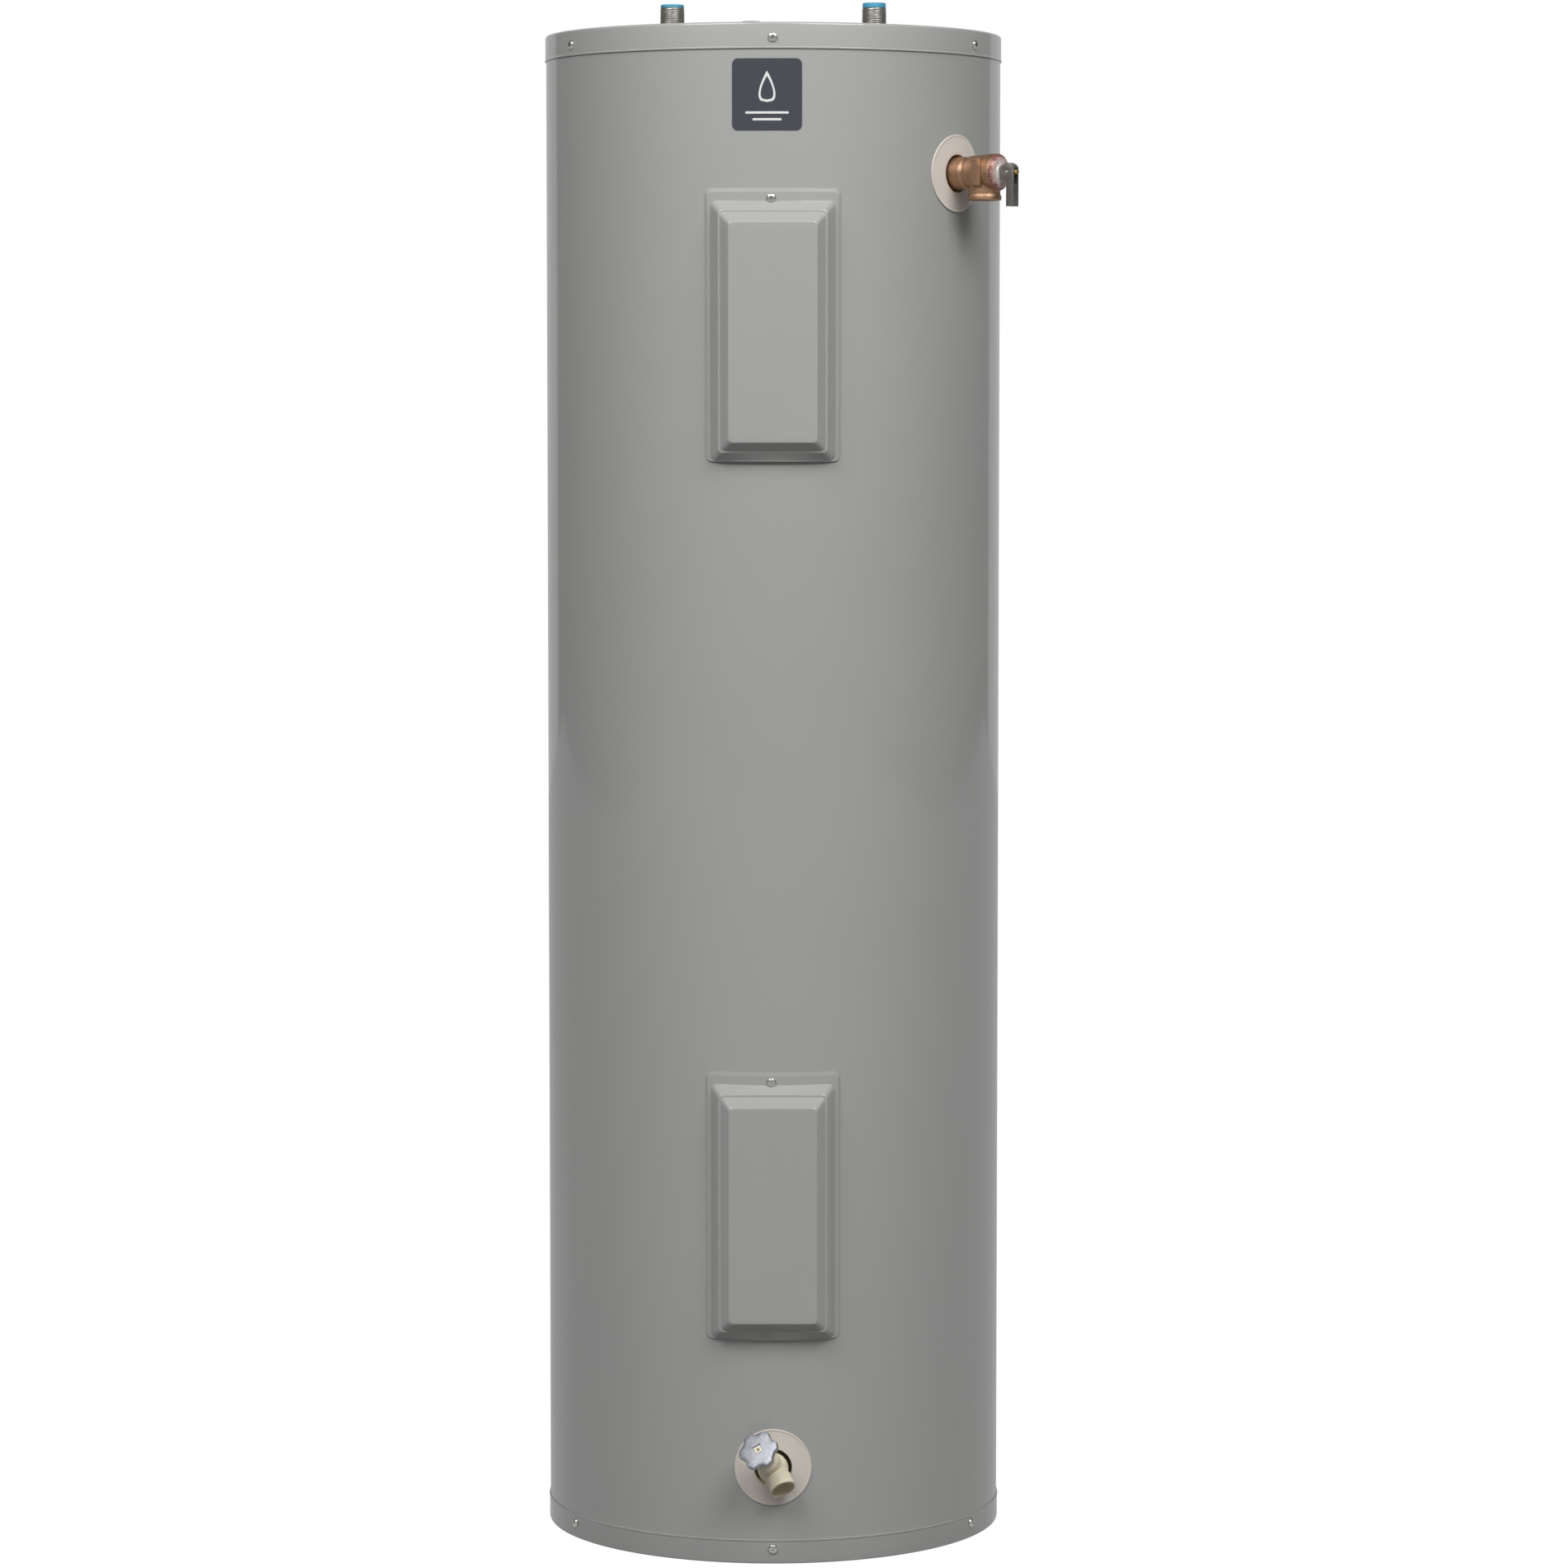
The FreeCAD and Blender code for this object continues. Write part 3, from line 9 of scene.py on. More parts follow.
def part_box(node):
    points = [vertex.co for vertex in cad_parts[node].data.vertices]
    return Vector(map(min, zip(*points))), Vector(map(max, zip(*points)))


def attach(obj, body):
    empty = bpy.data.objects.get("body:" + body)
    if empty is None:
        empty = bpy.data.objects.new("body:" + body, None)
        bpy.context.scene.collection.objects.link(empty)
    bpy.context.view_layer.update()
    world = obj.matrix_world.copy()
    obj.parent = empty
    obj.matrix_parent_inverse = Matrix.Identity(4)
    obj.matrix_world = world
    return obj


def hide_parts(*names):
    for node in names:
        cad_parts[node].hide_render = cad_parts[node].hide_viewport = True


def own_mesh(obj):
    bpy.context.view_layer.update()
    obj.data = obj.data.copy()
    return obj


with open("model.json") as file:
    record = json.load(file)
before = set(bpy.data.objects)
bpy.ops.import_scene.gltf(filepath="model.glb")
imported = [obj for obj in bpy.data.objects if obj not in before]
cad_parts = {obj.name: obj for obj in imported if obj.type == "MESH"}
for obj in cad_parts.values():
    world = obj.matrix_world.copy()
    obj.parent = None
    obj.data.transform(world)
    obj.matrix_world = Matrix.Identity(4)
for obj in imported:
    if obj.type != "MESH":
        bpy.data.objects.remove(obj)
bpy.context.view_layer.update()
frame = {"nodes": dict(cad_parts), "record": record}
joints = {joint["name"]: joint for joint in frame["record"]["behaviour"]["joints"]}
mounts = {mount["name"]: mount for mount in frame["record"]["mounts"]}


# ---------------------------------------- jacket
# The jacket is one sheet of 0.8 mm steel, rolled round the foam and locked in a folded seam at the
# back. It is sprayed with grey enamel and baked, which leaves a faint orange peel and a soft gloss.
def linear(code):
    """Linear colour of an sRGB hex value."""
    levels = [int(code[i:i + 2], 16) / 255 for i in (1, 3, 5)]
    return tuple(v / 12.92 if v <= 0.04045 else ((v + 0.055) / 1.055) ** 2.4 for v in levels) + (1.0,)


def add(tree, kind, settings=None, inputs=None, links=None):
    """A new node with its settings, input values and incoming links."""
    node = tree.nodes.new(kind)
    for name, value in (settings or {}).items():
        setattr(node, name, value)
    for name, value in (inputs or {}).items():
        node.inputs[name].default_value = value
    for name, socket in (links or {}).items():
        tree.links.new(socket, node.inputs[name])
    return node


def finish_of(name, colour, roughness, metallic=0.0, **sockets):
    """A material with one shader, and its Object coordinates."""
    material = bpy.data.materials.new(name)
    material.use_nodes = True
    tree = material.node_tree
    shader = tree.nodes["Principled BSDF"]
    shader.inputs["Base Color"].default_value = linear(colour)
    shader.inputs["Roughness"].default_value = roughness
    shader.inputs["Metallic"].default_value = metallic
    for socket, value in sockets.items():
        shader.inputs[socket.replace("_", " ")].default_value = value
    place = add(tree, "ShaderNodeTexCoord")
    return material, tree, shader, place.outputs["Object"]


def mottle(tree, shader, place, dark, light, grain_mm, detail=3.0):
    """Slow change between two near colours, one patch every grain_mm."""
    cloud = add(tree, "ShaderNodeTexNoise", inputs={"Scale": 1000 / grain_mm, "Detail": detail},
                links={"Vector": place})
    blend = add(tree, "ShaderNodeMix", {"data_type": "RGBA"},
                {"A": linear(dark), "B": linear(light)}, {"Factor": cloud.outputs["Fac"]})
    tree.links.new(blend.outputs["Result"], shader.inputs["Base Color"])
    return cloud.outputs["Fac"]


def grain(tree, shader, place, grain_mm, depth_mm, strength=1.0, detail=2.0):
    """Fine uneven surface, one bump every grain_mm."""
    noise = add(tree, "ShaderNodeTexNoise", inputs={"Scale": 1000 / grain_mm, "Detail": detail},
                links={"Vector": place})
    bump = add(tree, "ShaderNodeBump", inputs={"Strength": strength, "Distance": depth_mm / 1000},
               links={"Height": noise.outputs["Fac"]})
    tree.links.new(bump.outputs["Normal"], shader.inputs["Normal"])
    return noise.outputs["Fac"]


def uneven_gloss(tree, shader, source, low, high):
    """Roughness that follows a pattern between two values."""
    spread = add(tree, "ShaderNodeMapRange", inputs={"To Min": low, "To Max": high}, links={"Value": source})
    tree.links.new(spread.outputs["Result"], shader.inputs["Roughness"])


def patterned(name, colour, roughness, metallic, mottled, grained=None, gloss=None, **sockets):
    """A material with mottled colour, and fine grain and uneven gloss where they are given."""
    material, tree, shader, place = finish_of(name, colour, roughness, metallic, **sockets)
    patches = mottle(tree, shader, place, *mottled)
    if grained:
        grain(tree, shader, place, *grained)
    if gloss:
        uneven_gloss(tree, shader, patches, *gloss)
    return material


# Baked enamel: an eggshell grey with a thin clear gloss that lines the edges with light.
enamel = patterned("grey_baked_enamel", "#9fa09e", 0.48, 0.0, ("#9d9f9d", "#a2a29f", 160),
                   (2.2, 0.04, 0.15), (0.45, 0.51), IOR=1.5, Coat_Weight=0.7, Coat_Roughness=0.06)


def mesh_object(name, vertices, faces, place=None):
    """Object from corners in mm, cleaned, with its faces outward and its place in its mesh."""
    build = bmesh.new()
    corners = [build.verts.new(Vector(v) * 0.001) for v in vertices]
    for face in faces:
        if len(set(face)) > 2:
            build.faces.new([corners[i] for i in face])
    bmesh.ops.remove_doubles(build, verts=build.verts, dist=1e-6)
    bmesh.ops.dissolve_degenerate(build, edges=build.edges, dist=1e-7)
    bmesh.ops.recalc_face_normals(build, faces=build.faces)
    if place is not None:
        bmesh.ops.transform(build, matrix=place, verts=build.verts)
    mesh = bpy.data.meshes.new(name)
    build.to_mesh(mesh)
    build.free()
    thing = bpy.data.objects.new(name, mesh)
    bpy.context.scene.collection.objects.link(thing)
    return thing


def turned(name, outline, steps=96, place=None):
    """Closed (radius, height) outline in mm, turned about +Z."""
    count = len(outline)
    vertices = []
    for step in range(steps):
        angle = 2 * math.pi * step / steps
        vertices += [(r * math.cos(angle), r * math.sin(angle), h) for r, h in outline]
    faces = []
    for step in range(steps):
        here, there = step * count, (step + 1) % steps * count
        faces += [(here + i, there + i, there + (i + 1) % count, here + (i + 1) % count)
                  for i in range(count)]
    return mesh_object(name, vertices, faces, place)


def filleted(corners, steps=4):
    """Outline through (x, y, radius) corners, each rounded by its radius."""
    points = []
    for i, (x, y, radius) in enumerate(corners):
        here = Vector((x, y))
        if radius == 0:
            points.append((x, y))
            continue
        before = (Vector(corners[i - 1][:2]) - here).normalized()
        after = (Vector(corners[(i + 1) % len(corners)][:2]) - here).normalized()
        half = before.angle(after) / 2
        if half > 1.57:
            points.append((x, y))
            continue
        centre = here + (before + after).normalized() * radius / math.sin(half)
        start = here + before * radius / math.tan(half) - centre
        end = here + after * radius / math.tan(half) - centre
        sweep = start.angle_signed(end)
        for step in range(steps + 1):
            turn = -sweep * step / steps
            points.append((centre.x + start.x * math.cos(turn) - start.y * math.sin(turn),
                           centre.y + start.x * math.sin(turn) + start.y * math.cos(turn)))
    return points


def evaluated(thing):
    """Replace an object's mesh by the result of its modifiers."""
    bpy.context.view_layer.update()
    result = bpy.data.meshes.new_from_object(thing.evaluated_get(bpy.context.evaluated_depsgraph_get()))
    thing.modifiers.clear()
    thing.data = result
    return thing


def joined_with(thing, others, operation="UNION"):
    """Boolean of a piece with others, which are used up."""
    for other in others:
        step = thing.modifiers.new("step", "BOOLEAN")
        step.operation = operation
        step.solver = "EXACT"
        step.object = other
        evaluated(thing)
        bpy.data.objects.remove(other)
    return thing


def block(name, low, high, place=None):
    """Box between two corners in mm, used to cut and join."""
    xs, ys, zs = zip(low, high)
    vertices = [(x, y, z) for x in xs for y in ys for z in zs]
    faces = [(0, 1, 3, 2), (4, 6, 7, 5), (0, 4, 5, 1), (2, 3, 7, 6), (0, 2, 6, 4), (1, 5, 7, 3)]
    return mesh_object(name, vertices, faces, place)


def dress(piece, material, body, slot, *nodes, crease=35):
    """Give a piece its finish and shading, put it on its body, and take the place of its CAD nodes."""
    piece.data.materials.clear()
    piece.data.materials.append(material)
    piece.data.polygons.foreach_set("use_smooth", [True] * len(piece.data.polygons))
    piece.data.set_sharp_from_angle(angle=math.radians(crease))
    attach(piece, body)
    if nodes:
        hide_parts(*nodes)
    return piece


def true_round(piece):
    """Shade the walls that stand about the heater's axis as true rounds, whatever their faces."""
    mesh = piece.data
    normals = []
    for face in mesh.polygons:
        flat = face.normal
        for index in face.loop_indices:
            corner = mesh.vertices[mesh.loops[index].vertex_index].co
            out = Vector((corner.x, corner.y, 0)).normalized()
            facing = flat.dot(out)
            normals.append(out if facing > 0.97 else -out if facing < -0.97 else flat)
    mesh.normals_split_custom_set(normals)


def box_mm(node):
    low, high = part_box(node)
    return Vector(low) * 1000, Vector(high) * 1000


jacket_low, jacket_high = box_mm("jacket")
jacket_r = (jacket_high.x - jacket_low.x) / 2
jacket_sheet = 0.8
relief_out = Vector(joints["relief_lift"]["axis"])
relief_z = joints["relief_lever_turn"]["pos_m"][2] * 1000
relief_place = Matrix.Translation((0, 0, relief_z / 1000)) @ Matrix(
    (Vector((0, 0, 1)).cross(relief_out), Vector((0, 0, 1)), relief_out)).transposed().to_4x4()
drain_z = sum(v.z for v in box_mm("drain_escutcheon")) / 2
front_turn = Matrix.Rotation(math.radians(90), 4, "X")
drain_front = Matrix.Translation((0, 0, drain_z / 1000)) @ front_turn
valve_hole_r = 18.5

jacket = turned("jacket_sheet", [
    (jacket_r, jacket_low.z), (jacket_r, jacket_high.z), (jacket_r - jacket_sheet, jacket_high.z),
    (jacket_r - jacket_sheet, jacket_low.z)], steps=256)
openings = []
for panel in ("upper_access_panel", "lower_access_panel"):
    low, high = box_mm(panel)
    openings.append(block("opening", (-56, -jacket_r - 9, low.z + 8), (56, -150, high.z - 22)))
for where in (relief_place, drain_front):
    openings.append(turned("valve_opening", [(0, 180), (valve_hole_r, 180), (valve_hole_r, 240), (0, 240)],
                           64, where))
joined_with(jacket, openings, "DIFFERENCE")
dress(jacket, enamel, "heater", "jacket_paint", "jacket")
true_round(jacket)

seam_w = 11.0
seam = mesh_object("jacket_back_seam", [
    ((jacket_r + lift) * math.sin(a), (jacket_r + lift) * math.cos(a), z)
    for z in (26.0, jacket_high.z - 20)
    for a, lift in ((-seam_w / 2 / jacket_r, -0.3), (-seam_w / 2 / jacket_r, 0.7),
                    ((seam_w / 2 - 1.5) / jacket_r, 0.7), (seam_w / 2 / jacket_r, 0.1),
                    (seam_w / 2 / jacket_r, -0.3))],
    [(0, 1, 6, 5), (1, 2, 7, 6), (2, 3, 8, 7), (3, 4, 9, 8), (4, 0, 5, 9), (0, 4, 3, 2, 1), (5, 6, 7, 8, 9)])
dress(seam, enamel, "heater", "jacket_paint")

# ---------------------------------------- top pan
# A shallow lid drawn from the same sheet. Its skirt slips over the jacket and ends in a narrow
# rolled bead, and the holes for the pipes, the anode and the wiring are pierced through its top.
pan_low, pan_high = box_mm("top_pan")
skirt_r = jacket_r + jacket_sheet
bead = 0.5
top_pan = turned("top_pan_sheet", filleted([
    (0, pan_high.z, 0), (150, pan_high.z, 0), (skirt_r, pan_high.z, 2.6), (skirt_r, pan_low.z + 1.9, 0.4),
    (skirt_r + bead, pan_low.z + 1.3, 0.4), (skirt_r + bead, pan_low.z, 0.3),
    (jacket_r + 0.05, pan_low.z, 0.2), (jacket_r + 0.05, pan_high.z - 0.8, 1.8), (150, pan_high.z - 0.8, 0),
    (0, pan_high.z - 0.8, 0)]), steps=256)
anode_low, anode_high = box_mm("anode_cap")
anode_at = (anode_low + anode_high) / 2
cold_at = Vector(mounts["cold_inlet"]["pos_m"]) * 1000
hot_at = Vector(mounts["hot_outlet"]["pos_m"]) * 1000
knockout_at = Vector(mounts["conduit_knockout"]["pos_m"]) * 1000
cover_low, cover_high = box_mm("junction_cover")
pierced = []
for centre, radius in ((cold_at, 14.4), (hot_at, 14.4), (anode_at, 14.4),
                       (knockout_at, mounts["conduit_knockout"]["dims"]["r_mm"])):
    pierced.append(turned("pierced", [(0, -9), (radius, -9), (radius, 9), (0, 9)], 48,
                          Matrix.Translation((centre.x / 1000, centre.y / 1000, pan_high.z / 1000))))
pierced.append(block("cover_opening", (cover_low.x + 6, cover_low.y + 6, pan_high.z - 3),
                     (cover_high.x - 14, cover_high.y - 6, pan_high.z + 3)))
joined_with(top_pan, pierced, "DIFFERENCE")
dress(top_pan, enamel, "heater", "jacket_paint", "top_pan")

# ---------------------------------------- bottom pan
# A drawn tray that the jacket stands in. Its upper edge is rolled out into a thin bead.
foot_high = box_mm("bottom_pan")[1]
bottom_pan = turned("bottom_pan_sheet", filleted([
    (0, 0, 0), (skirt_r, 0, 1.4), (skirt_r, foot_high.z - 2.2, 0.4), (skirt_r + bead, foot_high.z - 1.4, 0.4),
    (skirt_r + bead, foot_high.z, 0.3), (jacket_r + 0.05, foot_high.z, 0.2), (jacket_r + 0.05, 0.8, 0.4),
    (0, 0.8, 0)]), steps=256)
dress(bottom_pan, enamel, "heater", "jacket_paint", "bottom_pan")

# ---------------------------------------- sheet metal screws
# Pan-head tapping screws of zinc plated steel with a cross recess. Six hold each pan to the jacket
# and one holds each access panel.

# Bright zinc plate: small sharp glints on the heads and in the recess.
zinc = patterned("bright_zinc_plate", "#c8c8c4", 0.27, 1.0, ("#b9b9b4", "#d2d2ce", 2.5), (0.5, 0.03, 0.3),
                 (0.22, 0.36))


def screw(name, place=None):
    """One screw, its head's seat at height 0 and its shank below, in mm."""
    body = turned(name, filleted([
        (0, -8, 0), (1.0, -8, 0), (1.9, -6, 0), (1.9, -0.05, 0), (4.7, 0, 0.15), (4.7, 0.75, 0.35),
        (3.9, 2.0, 1.1), (2.2, 2.6, 1.6), (0, 2.6, 0)]), 32)
    recess = []
    for turn in (0, 90):
        recess.append(block("arm", (-1.75, -0.42, 1.15), (1.75, 0.42, 3.4),
                            Matrix.Rotation(math.radians(turn), 4, "Z")))
    joined_with(recess[0], [recess[1]])
    joined_with(body, [recess[0]], "DIFFERENCE")
    if place is not None:
        body.data.transform(place)
    return body


def ring_tree():
    """Node tree that sets copies of one screw evenly round the heater's axis, heads outward."""
    tree = bpy.data.node_groups.new("screws_round_a_pan", "GeometryNodeTree")
    face = tree.interface
    face.new_socket("Screw", in_out="INPUT", socket_type="NodeSocketObject")
    face.new_socket("Count", in_out="INPUT", socket_type="NodeSocketInt")
    face.new_socket("Radius", in_out="INPUT", socket_type="NodeSocketFloat")
    face.new_socket("Height", in_out="INPUT", socket_type="NodeSocketFloat")
    face.new_socket("Finish", in_out="INPUT", socket_type="NodeSocketMaterial")
    face.new_socket("Geometry", in_out="OUTPUT", socket_type="NodeSocketGeometry")
    given = add(tree, "NodeGroupInput").outputs
    ring = add(tree, "GeometryNodeMeshCircle", links={"Vertices": given["Count"], "Radius": given["Radius"]})
    lift = add(tree, "ShaderNodeCombineXYZ", links={"Z": given["Height"]})
    raised = add(tree, "GeometryNodeTransform", links={"Geometry": ring.outputs["Mesh"],
                                                       "Translation": lift.outputs["Vector"]})
    spot = add(tree, "GeometryNodeInputPosition")
    flat = add(tree, "ShaderNodeVectorMath", {"operation": "MULTIPLY"}, {1: (1, 1, 0)},
               {0: spot.outputs["Position"]})
    outward = add(tree, "FunctionNodeAlignRotationToVector", {"axis": "Z"},
                  links={"Vector": flat.outputs["Vector"]})
    one = add(tree, "GeometryNodeObjectInfo", links={"Object": given["Screw"]})
    copies = add(tree, "GeometryNodeInstanceOnPoints",
                 links={"Points": raised.outputs["Geometry"], "Instance": one.outputs["Geometry"],
                        "Rotation": outward.outputs["Rotation"]})
    solid = add(tree, "GeometryNodeRealizeInstances", links={"Geometry": copies.outputs["Instances"]})
    coated = add(tree, "GeometryNodeSetMaterial",
                 links={"Geometry": solid.outputs["Geometry"], "Material": given["Finish"]})
    add(tree, "NodeGroupOutput", links={"Geometry": coated.outputs["Geometry"]})
    return tree


screws_round = ring_tree()
pan_screw = screw("pan_screw")
for node, turn in (("top_pan_screws", 14), ("bottom_pan_screws", 31)):
    low, high = box_mm(node)
    ring = mesh_object(node + "_ring", [(0, 0, 0)], [])
    step = ring.modifiers.new("ring", "NODES")
    step.node_group = screws_round
    sockets = {item.name: item.identifier for item in screws_round.interface.items_tree}
    step[sockets["Screw"]] = pan_screw
    step[sockets["Count"]] = 6
    step[sockets["Radius"]] = skirt_r / 1000
    step[sockets["Height"]] = (low.z + high.z) / 2000
    step[sockets["Finish"]] = zinc
    evaluated(ring)
    ring.data.transform(Matrix.Rotation(math.radians(30), 4, "Z"))
    dress(ring, zinc, "heater", "zinc_steel", node, crease=28)
bpy.data.objects.remove(pan_screw)

# ---------------------------------------- access panels
# Each panel is pressed from one sheet: a curved flange that lies on the jacket, a first slope up to
# a narrow ledge, and a second slope up to a flat face. All bends are rounded by the press.
panel_gap = 0.9
panel_sheet = 1.0


def panel_outline(low, high, inset):
    """Rounded rectangle on the panel, inset from the flange's edge, as (across, up) corners."""
    flange = 4.5
    past = max(0.0, inset - flange)
    share = min(inset / flange, 1.0)
    half = (high.x - low.x) / 2 - inset
    bottom = low.z + 0.4 + 1.1 * share + past
    top = high.z - 12.5 * share - past * 1.15
    corner = 5.5 if inset <= flange else 5.5 - 0.05 * inset
    sides = ((half - corner, bottom + corner, -90), (half - corner, top - corner, 0),
             (-half + corner, top - corner, 90), (-half + corner, bottom + corner, 180))
    points = []
    for i, (x, z, start) in enumerate(sides):
        for step in range(9):
            angle = math.radians(start + 90 * step / 8)
            points.append((x + corner * math.cos(angle), z + corner * math.sin(angle)))
        next_x, next_z, turn = sides[(i + 1) % 4]
        begin = points[-1]
        angle = math.radians(turn)
        end = (next_x + corner * math.cos(angle), next_z + corner * math.sin(angle))
        for step in range(1, 16):
            share_along = step / 16
            points.append((begin[0] + (end[0] - begin[0]) * share_along,
                           begin[1] + (end[1] - begin[1]) * share_along))
    return points


def pressed_panel(name, node):
    low, high = box_mm(node)
    lie = jacket_r + panel_gap + panel_sheet
    ledge, face = jacket_r + 9, jacket_r + 20
    profile = filleted([(0, -2, 0), (0, -0.8, 0), (1.3, 0, 0.4), (4.5, 0, 0.8), (12.0, 10, 1.4),
                        (14.0, 10, 0.8), (22.0, 21, 2.0), (30, 21, 0)], 5)[1:]
    rings = []
    for inset, rise in profile:
        ring = []
        for x, z in panel_outline(low, high, max(inset, 0)):
            curved = math.sqrt(lie ** 2 - x ** 2)
            if z < low.z + 2.5 and abs(x) < 58:
                curved += 2.4 * math.sqrt(1 - (x / 58) ** 2) ** 0.5
            if rise <= 10:
                out = curved + min(rise, 0) + (ledge - curved) * max(rise, 0) / 10
            else:
                out = ledge + (face - ledge) * (rise - 10) / 11
            ring.append((x, -out, z))
        rings.append(ring)
    count = len(rings[0])
    vertices = [corner for ring in rings for corner in ring]
    faces = [(i * count + j, i * count + (j + 1) % count, (i + 1) * count + (j + 1) % count,
              (i + 1) * count + j) for i in range(len(rings) - 1) for j in range(count)]
    faces.append(tuple(range((len(rings) - 1) * count, len(rings) * count)))
    panel = mesh_object(name, vertices, faces)
    if panel.data.polygons[-1].normal.y > 0:
        panel.data.flip_normals()
    wall = panel.modifiers.new("sheet", "SOLIDIFY")
    wall.thickness = panel_sheet / 1000
    wall.offset = -1
    return evaluated(panel)


for side in ("upper", "lower"):
    panel = pressed_panel(side + "_panel_sheet", side + "_access_panel")
    dress(panel, enamel, side + "_cover", "jacket_paint", side + "_access_panel", crease=50)
    low, high = box_mm(side + "_panel_screw")
    spot = (low + high) / 2
    lift = Matrix.Translation((spot.x / 1000, -(jacket_r + panel_gap + panel_sheet) / 1000, spot.z / 1000))
    fixing = screw(side + "_panel_screw_head", lift @ front_turn @ Matrix.Rotation(0.4, 4, "Z"))
    dress(fixing, zinc, side + "_cover", "zinc_steel", side + "_panel_screw", crease=28)

# ---------------------------------------- badge
# A thin moulded plate in dark blue, stuck to the jacket. Its raised marks are plain ones: a drop of
# water in outline and two bars.

# Glossy dark blue plastic: one soft sheen over a nearly black plate.
navy = patterned("dark_blue_gloss_plate", "#41434c", 0.30, 0.0, ("#3e4049", "#45474f", 9),
                 (0.8, 0.02, 0.2), IOR=1.5)
# Silver print: pale, satin marks that read as metal without mirroring.
silver = patterned("silver_print", "#dcdcdc", 0.35, 0.0, ("#d2d2d2", "#e4e4e4", 4))
badge_low, badge_high = box_mm("badge")


def ladder(left, right, bottom, top, corner, rows=24):
    """Rounded rectangle whose corners pair up across it: up the right side, then down the left."""
    side = []
    for i in range(rows):
        z = bottom + (top - bottom) * (1 - math.cos(math.pi * i / (rows - 1))) / 2
        near = min(z - bottom, top - z)
        pull = corner - math.sqrt(max(corner ** 2 - max(corner - near, 0) ** 2, 0))
        side.append((pull, z))
    return [(right - pull, z) for pull, z in side] + [(left + pull, z) for pull, z in reversed(side)]


def across_rows(outline, lift, name, thick, columns=12):
    """Plate of rows between paired corners, with enough columns to follow the jacket's curve."""
    half = len(outline) // 2
    rows = [(outline[len(outline) - 1 - i], outline[i]) for i in range(half)]
    vertices, faces = [], []
    for level in (lift, lift + thick):
        for (x0, z0), (x1, _) in rows:
            for step in range(columns + 1):
                x = x0 + (x1 - x0) * step / columns
                angle = x / jacket_r
                out = jacket_r + level
                vertices.append((out * math.sin(angle), -out * math.cos(angle), z0))
    wide = columns + 1
    layer = wide * half
    for base in (0, layer):
        for row in range(half - 1):
            for column in range(columns):
                i = base + row * wide + column
                faces.append((i, i + 1, i + wide + 1, i + wide))
    rim = [row * wide + columns for row in range(half)] + [row * wide for row in reversed(range(half))]
    top_row = [(half - 1) * wide + c for c in range(columns - 1, 0, -1)]
    rim = list(range(columns)) + rim[:half] + top_row + rim[half:-1]
    for i, corner in enumerate(rim):
        after = rim[(i + 1) % len(rim)]
        faces.append((corner, after, after + layer, corner + layer))
    return mesh_object(name, vertices, faces)


badge_thick = 0.55
badge_corner = 5.5
badge = across_rows(ladder(badge_low.x, badge_high.x, badge_low.z, badge_high.z, badge_corner), 0,
                    "badge_plate", badge_thick)
dress(badge, navy, "heater", "badge_plate", "badge")
middle_x = (badge_low.x + badge_high.x) / 2
drop = []
drop_foot, drop_tall, drop_rows = 27, 30, 24
for i in range(drop_rows):
    share = i / (drop_rows - 1)
    z = badge_low.z + drop_foot + drop_tall * share
    wide = 9.0 * math.sqrt(max(math.sin(math.pi * min(share * 1.02, 1) ** 0.62), 0)) * (1 - share) ** 0.32
    drop.append((wide, z))
for name, scale, out in (("drop_edge", 1.0, 0.56), ("drop_core", 0.76, 0.60)):
    centre_z = badge_low.z + 37
    shape = [(middle_x + w * scale, centre_z + (z - centre_z) * scale) for w, z in drop]
    shape += [(middle_x - w * scale, centre_z + (z - centre_z) * scale) for w, z in reversed(drop)]
    mark = across_rows(shape, out - 0.1, "badge_" + name, 0.14, 6)
    dress(mark, silver if name == "drop_edge" else navy, "heater", "badge_plate")
upper_bar, bar_gap, bar_half = 17, 6.5, 1.1
for i, half_w in enumerate((21, 14)):
    z = badge_low.z + upper_bar - bar_gap * i
    bar = across_rows(ladder(middle_x - half_w, middle_x + half_w, z - bar_half, z + bar_half, 1.0, 10), 0.46,
                      "badge_bar_%d" % i, 0.2)
    dress(bar, silver, "heater", "badge_plate")

# ---------------------------------------- pipe nipples
# Short steel pipes with a tapered pipe thread cut on the free end, 14 threads to the inch. A blue
# plastic liner stands a little out of each, and keeps the steel and copper apart.

# Cut steel: bright crests, darker oily roots between them.
thread_steel = patterned("cut_pipe_steel", "#9b9992", 0.34, 1.0, ("#85837d", "#aeaca5", 3),
                         (0.4, 0.03, 0.4), (0.30, 0.52))
# Moulded polyethylene in blue: a waxy rim that marks the pipe ends.
liner_blue = patterned("blue_moulded_liner", "#4190ae", 0.42, 0.0, ("#3d8aa8", "#4898b6", 6),
                       (0.7, 0.02, 0.3), IOR=1.46)
pitch = 25.4 / 14


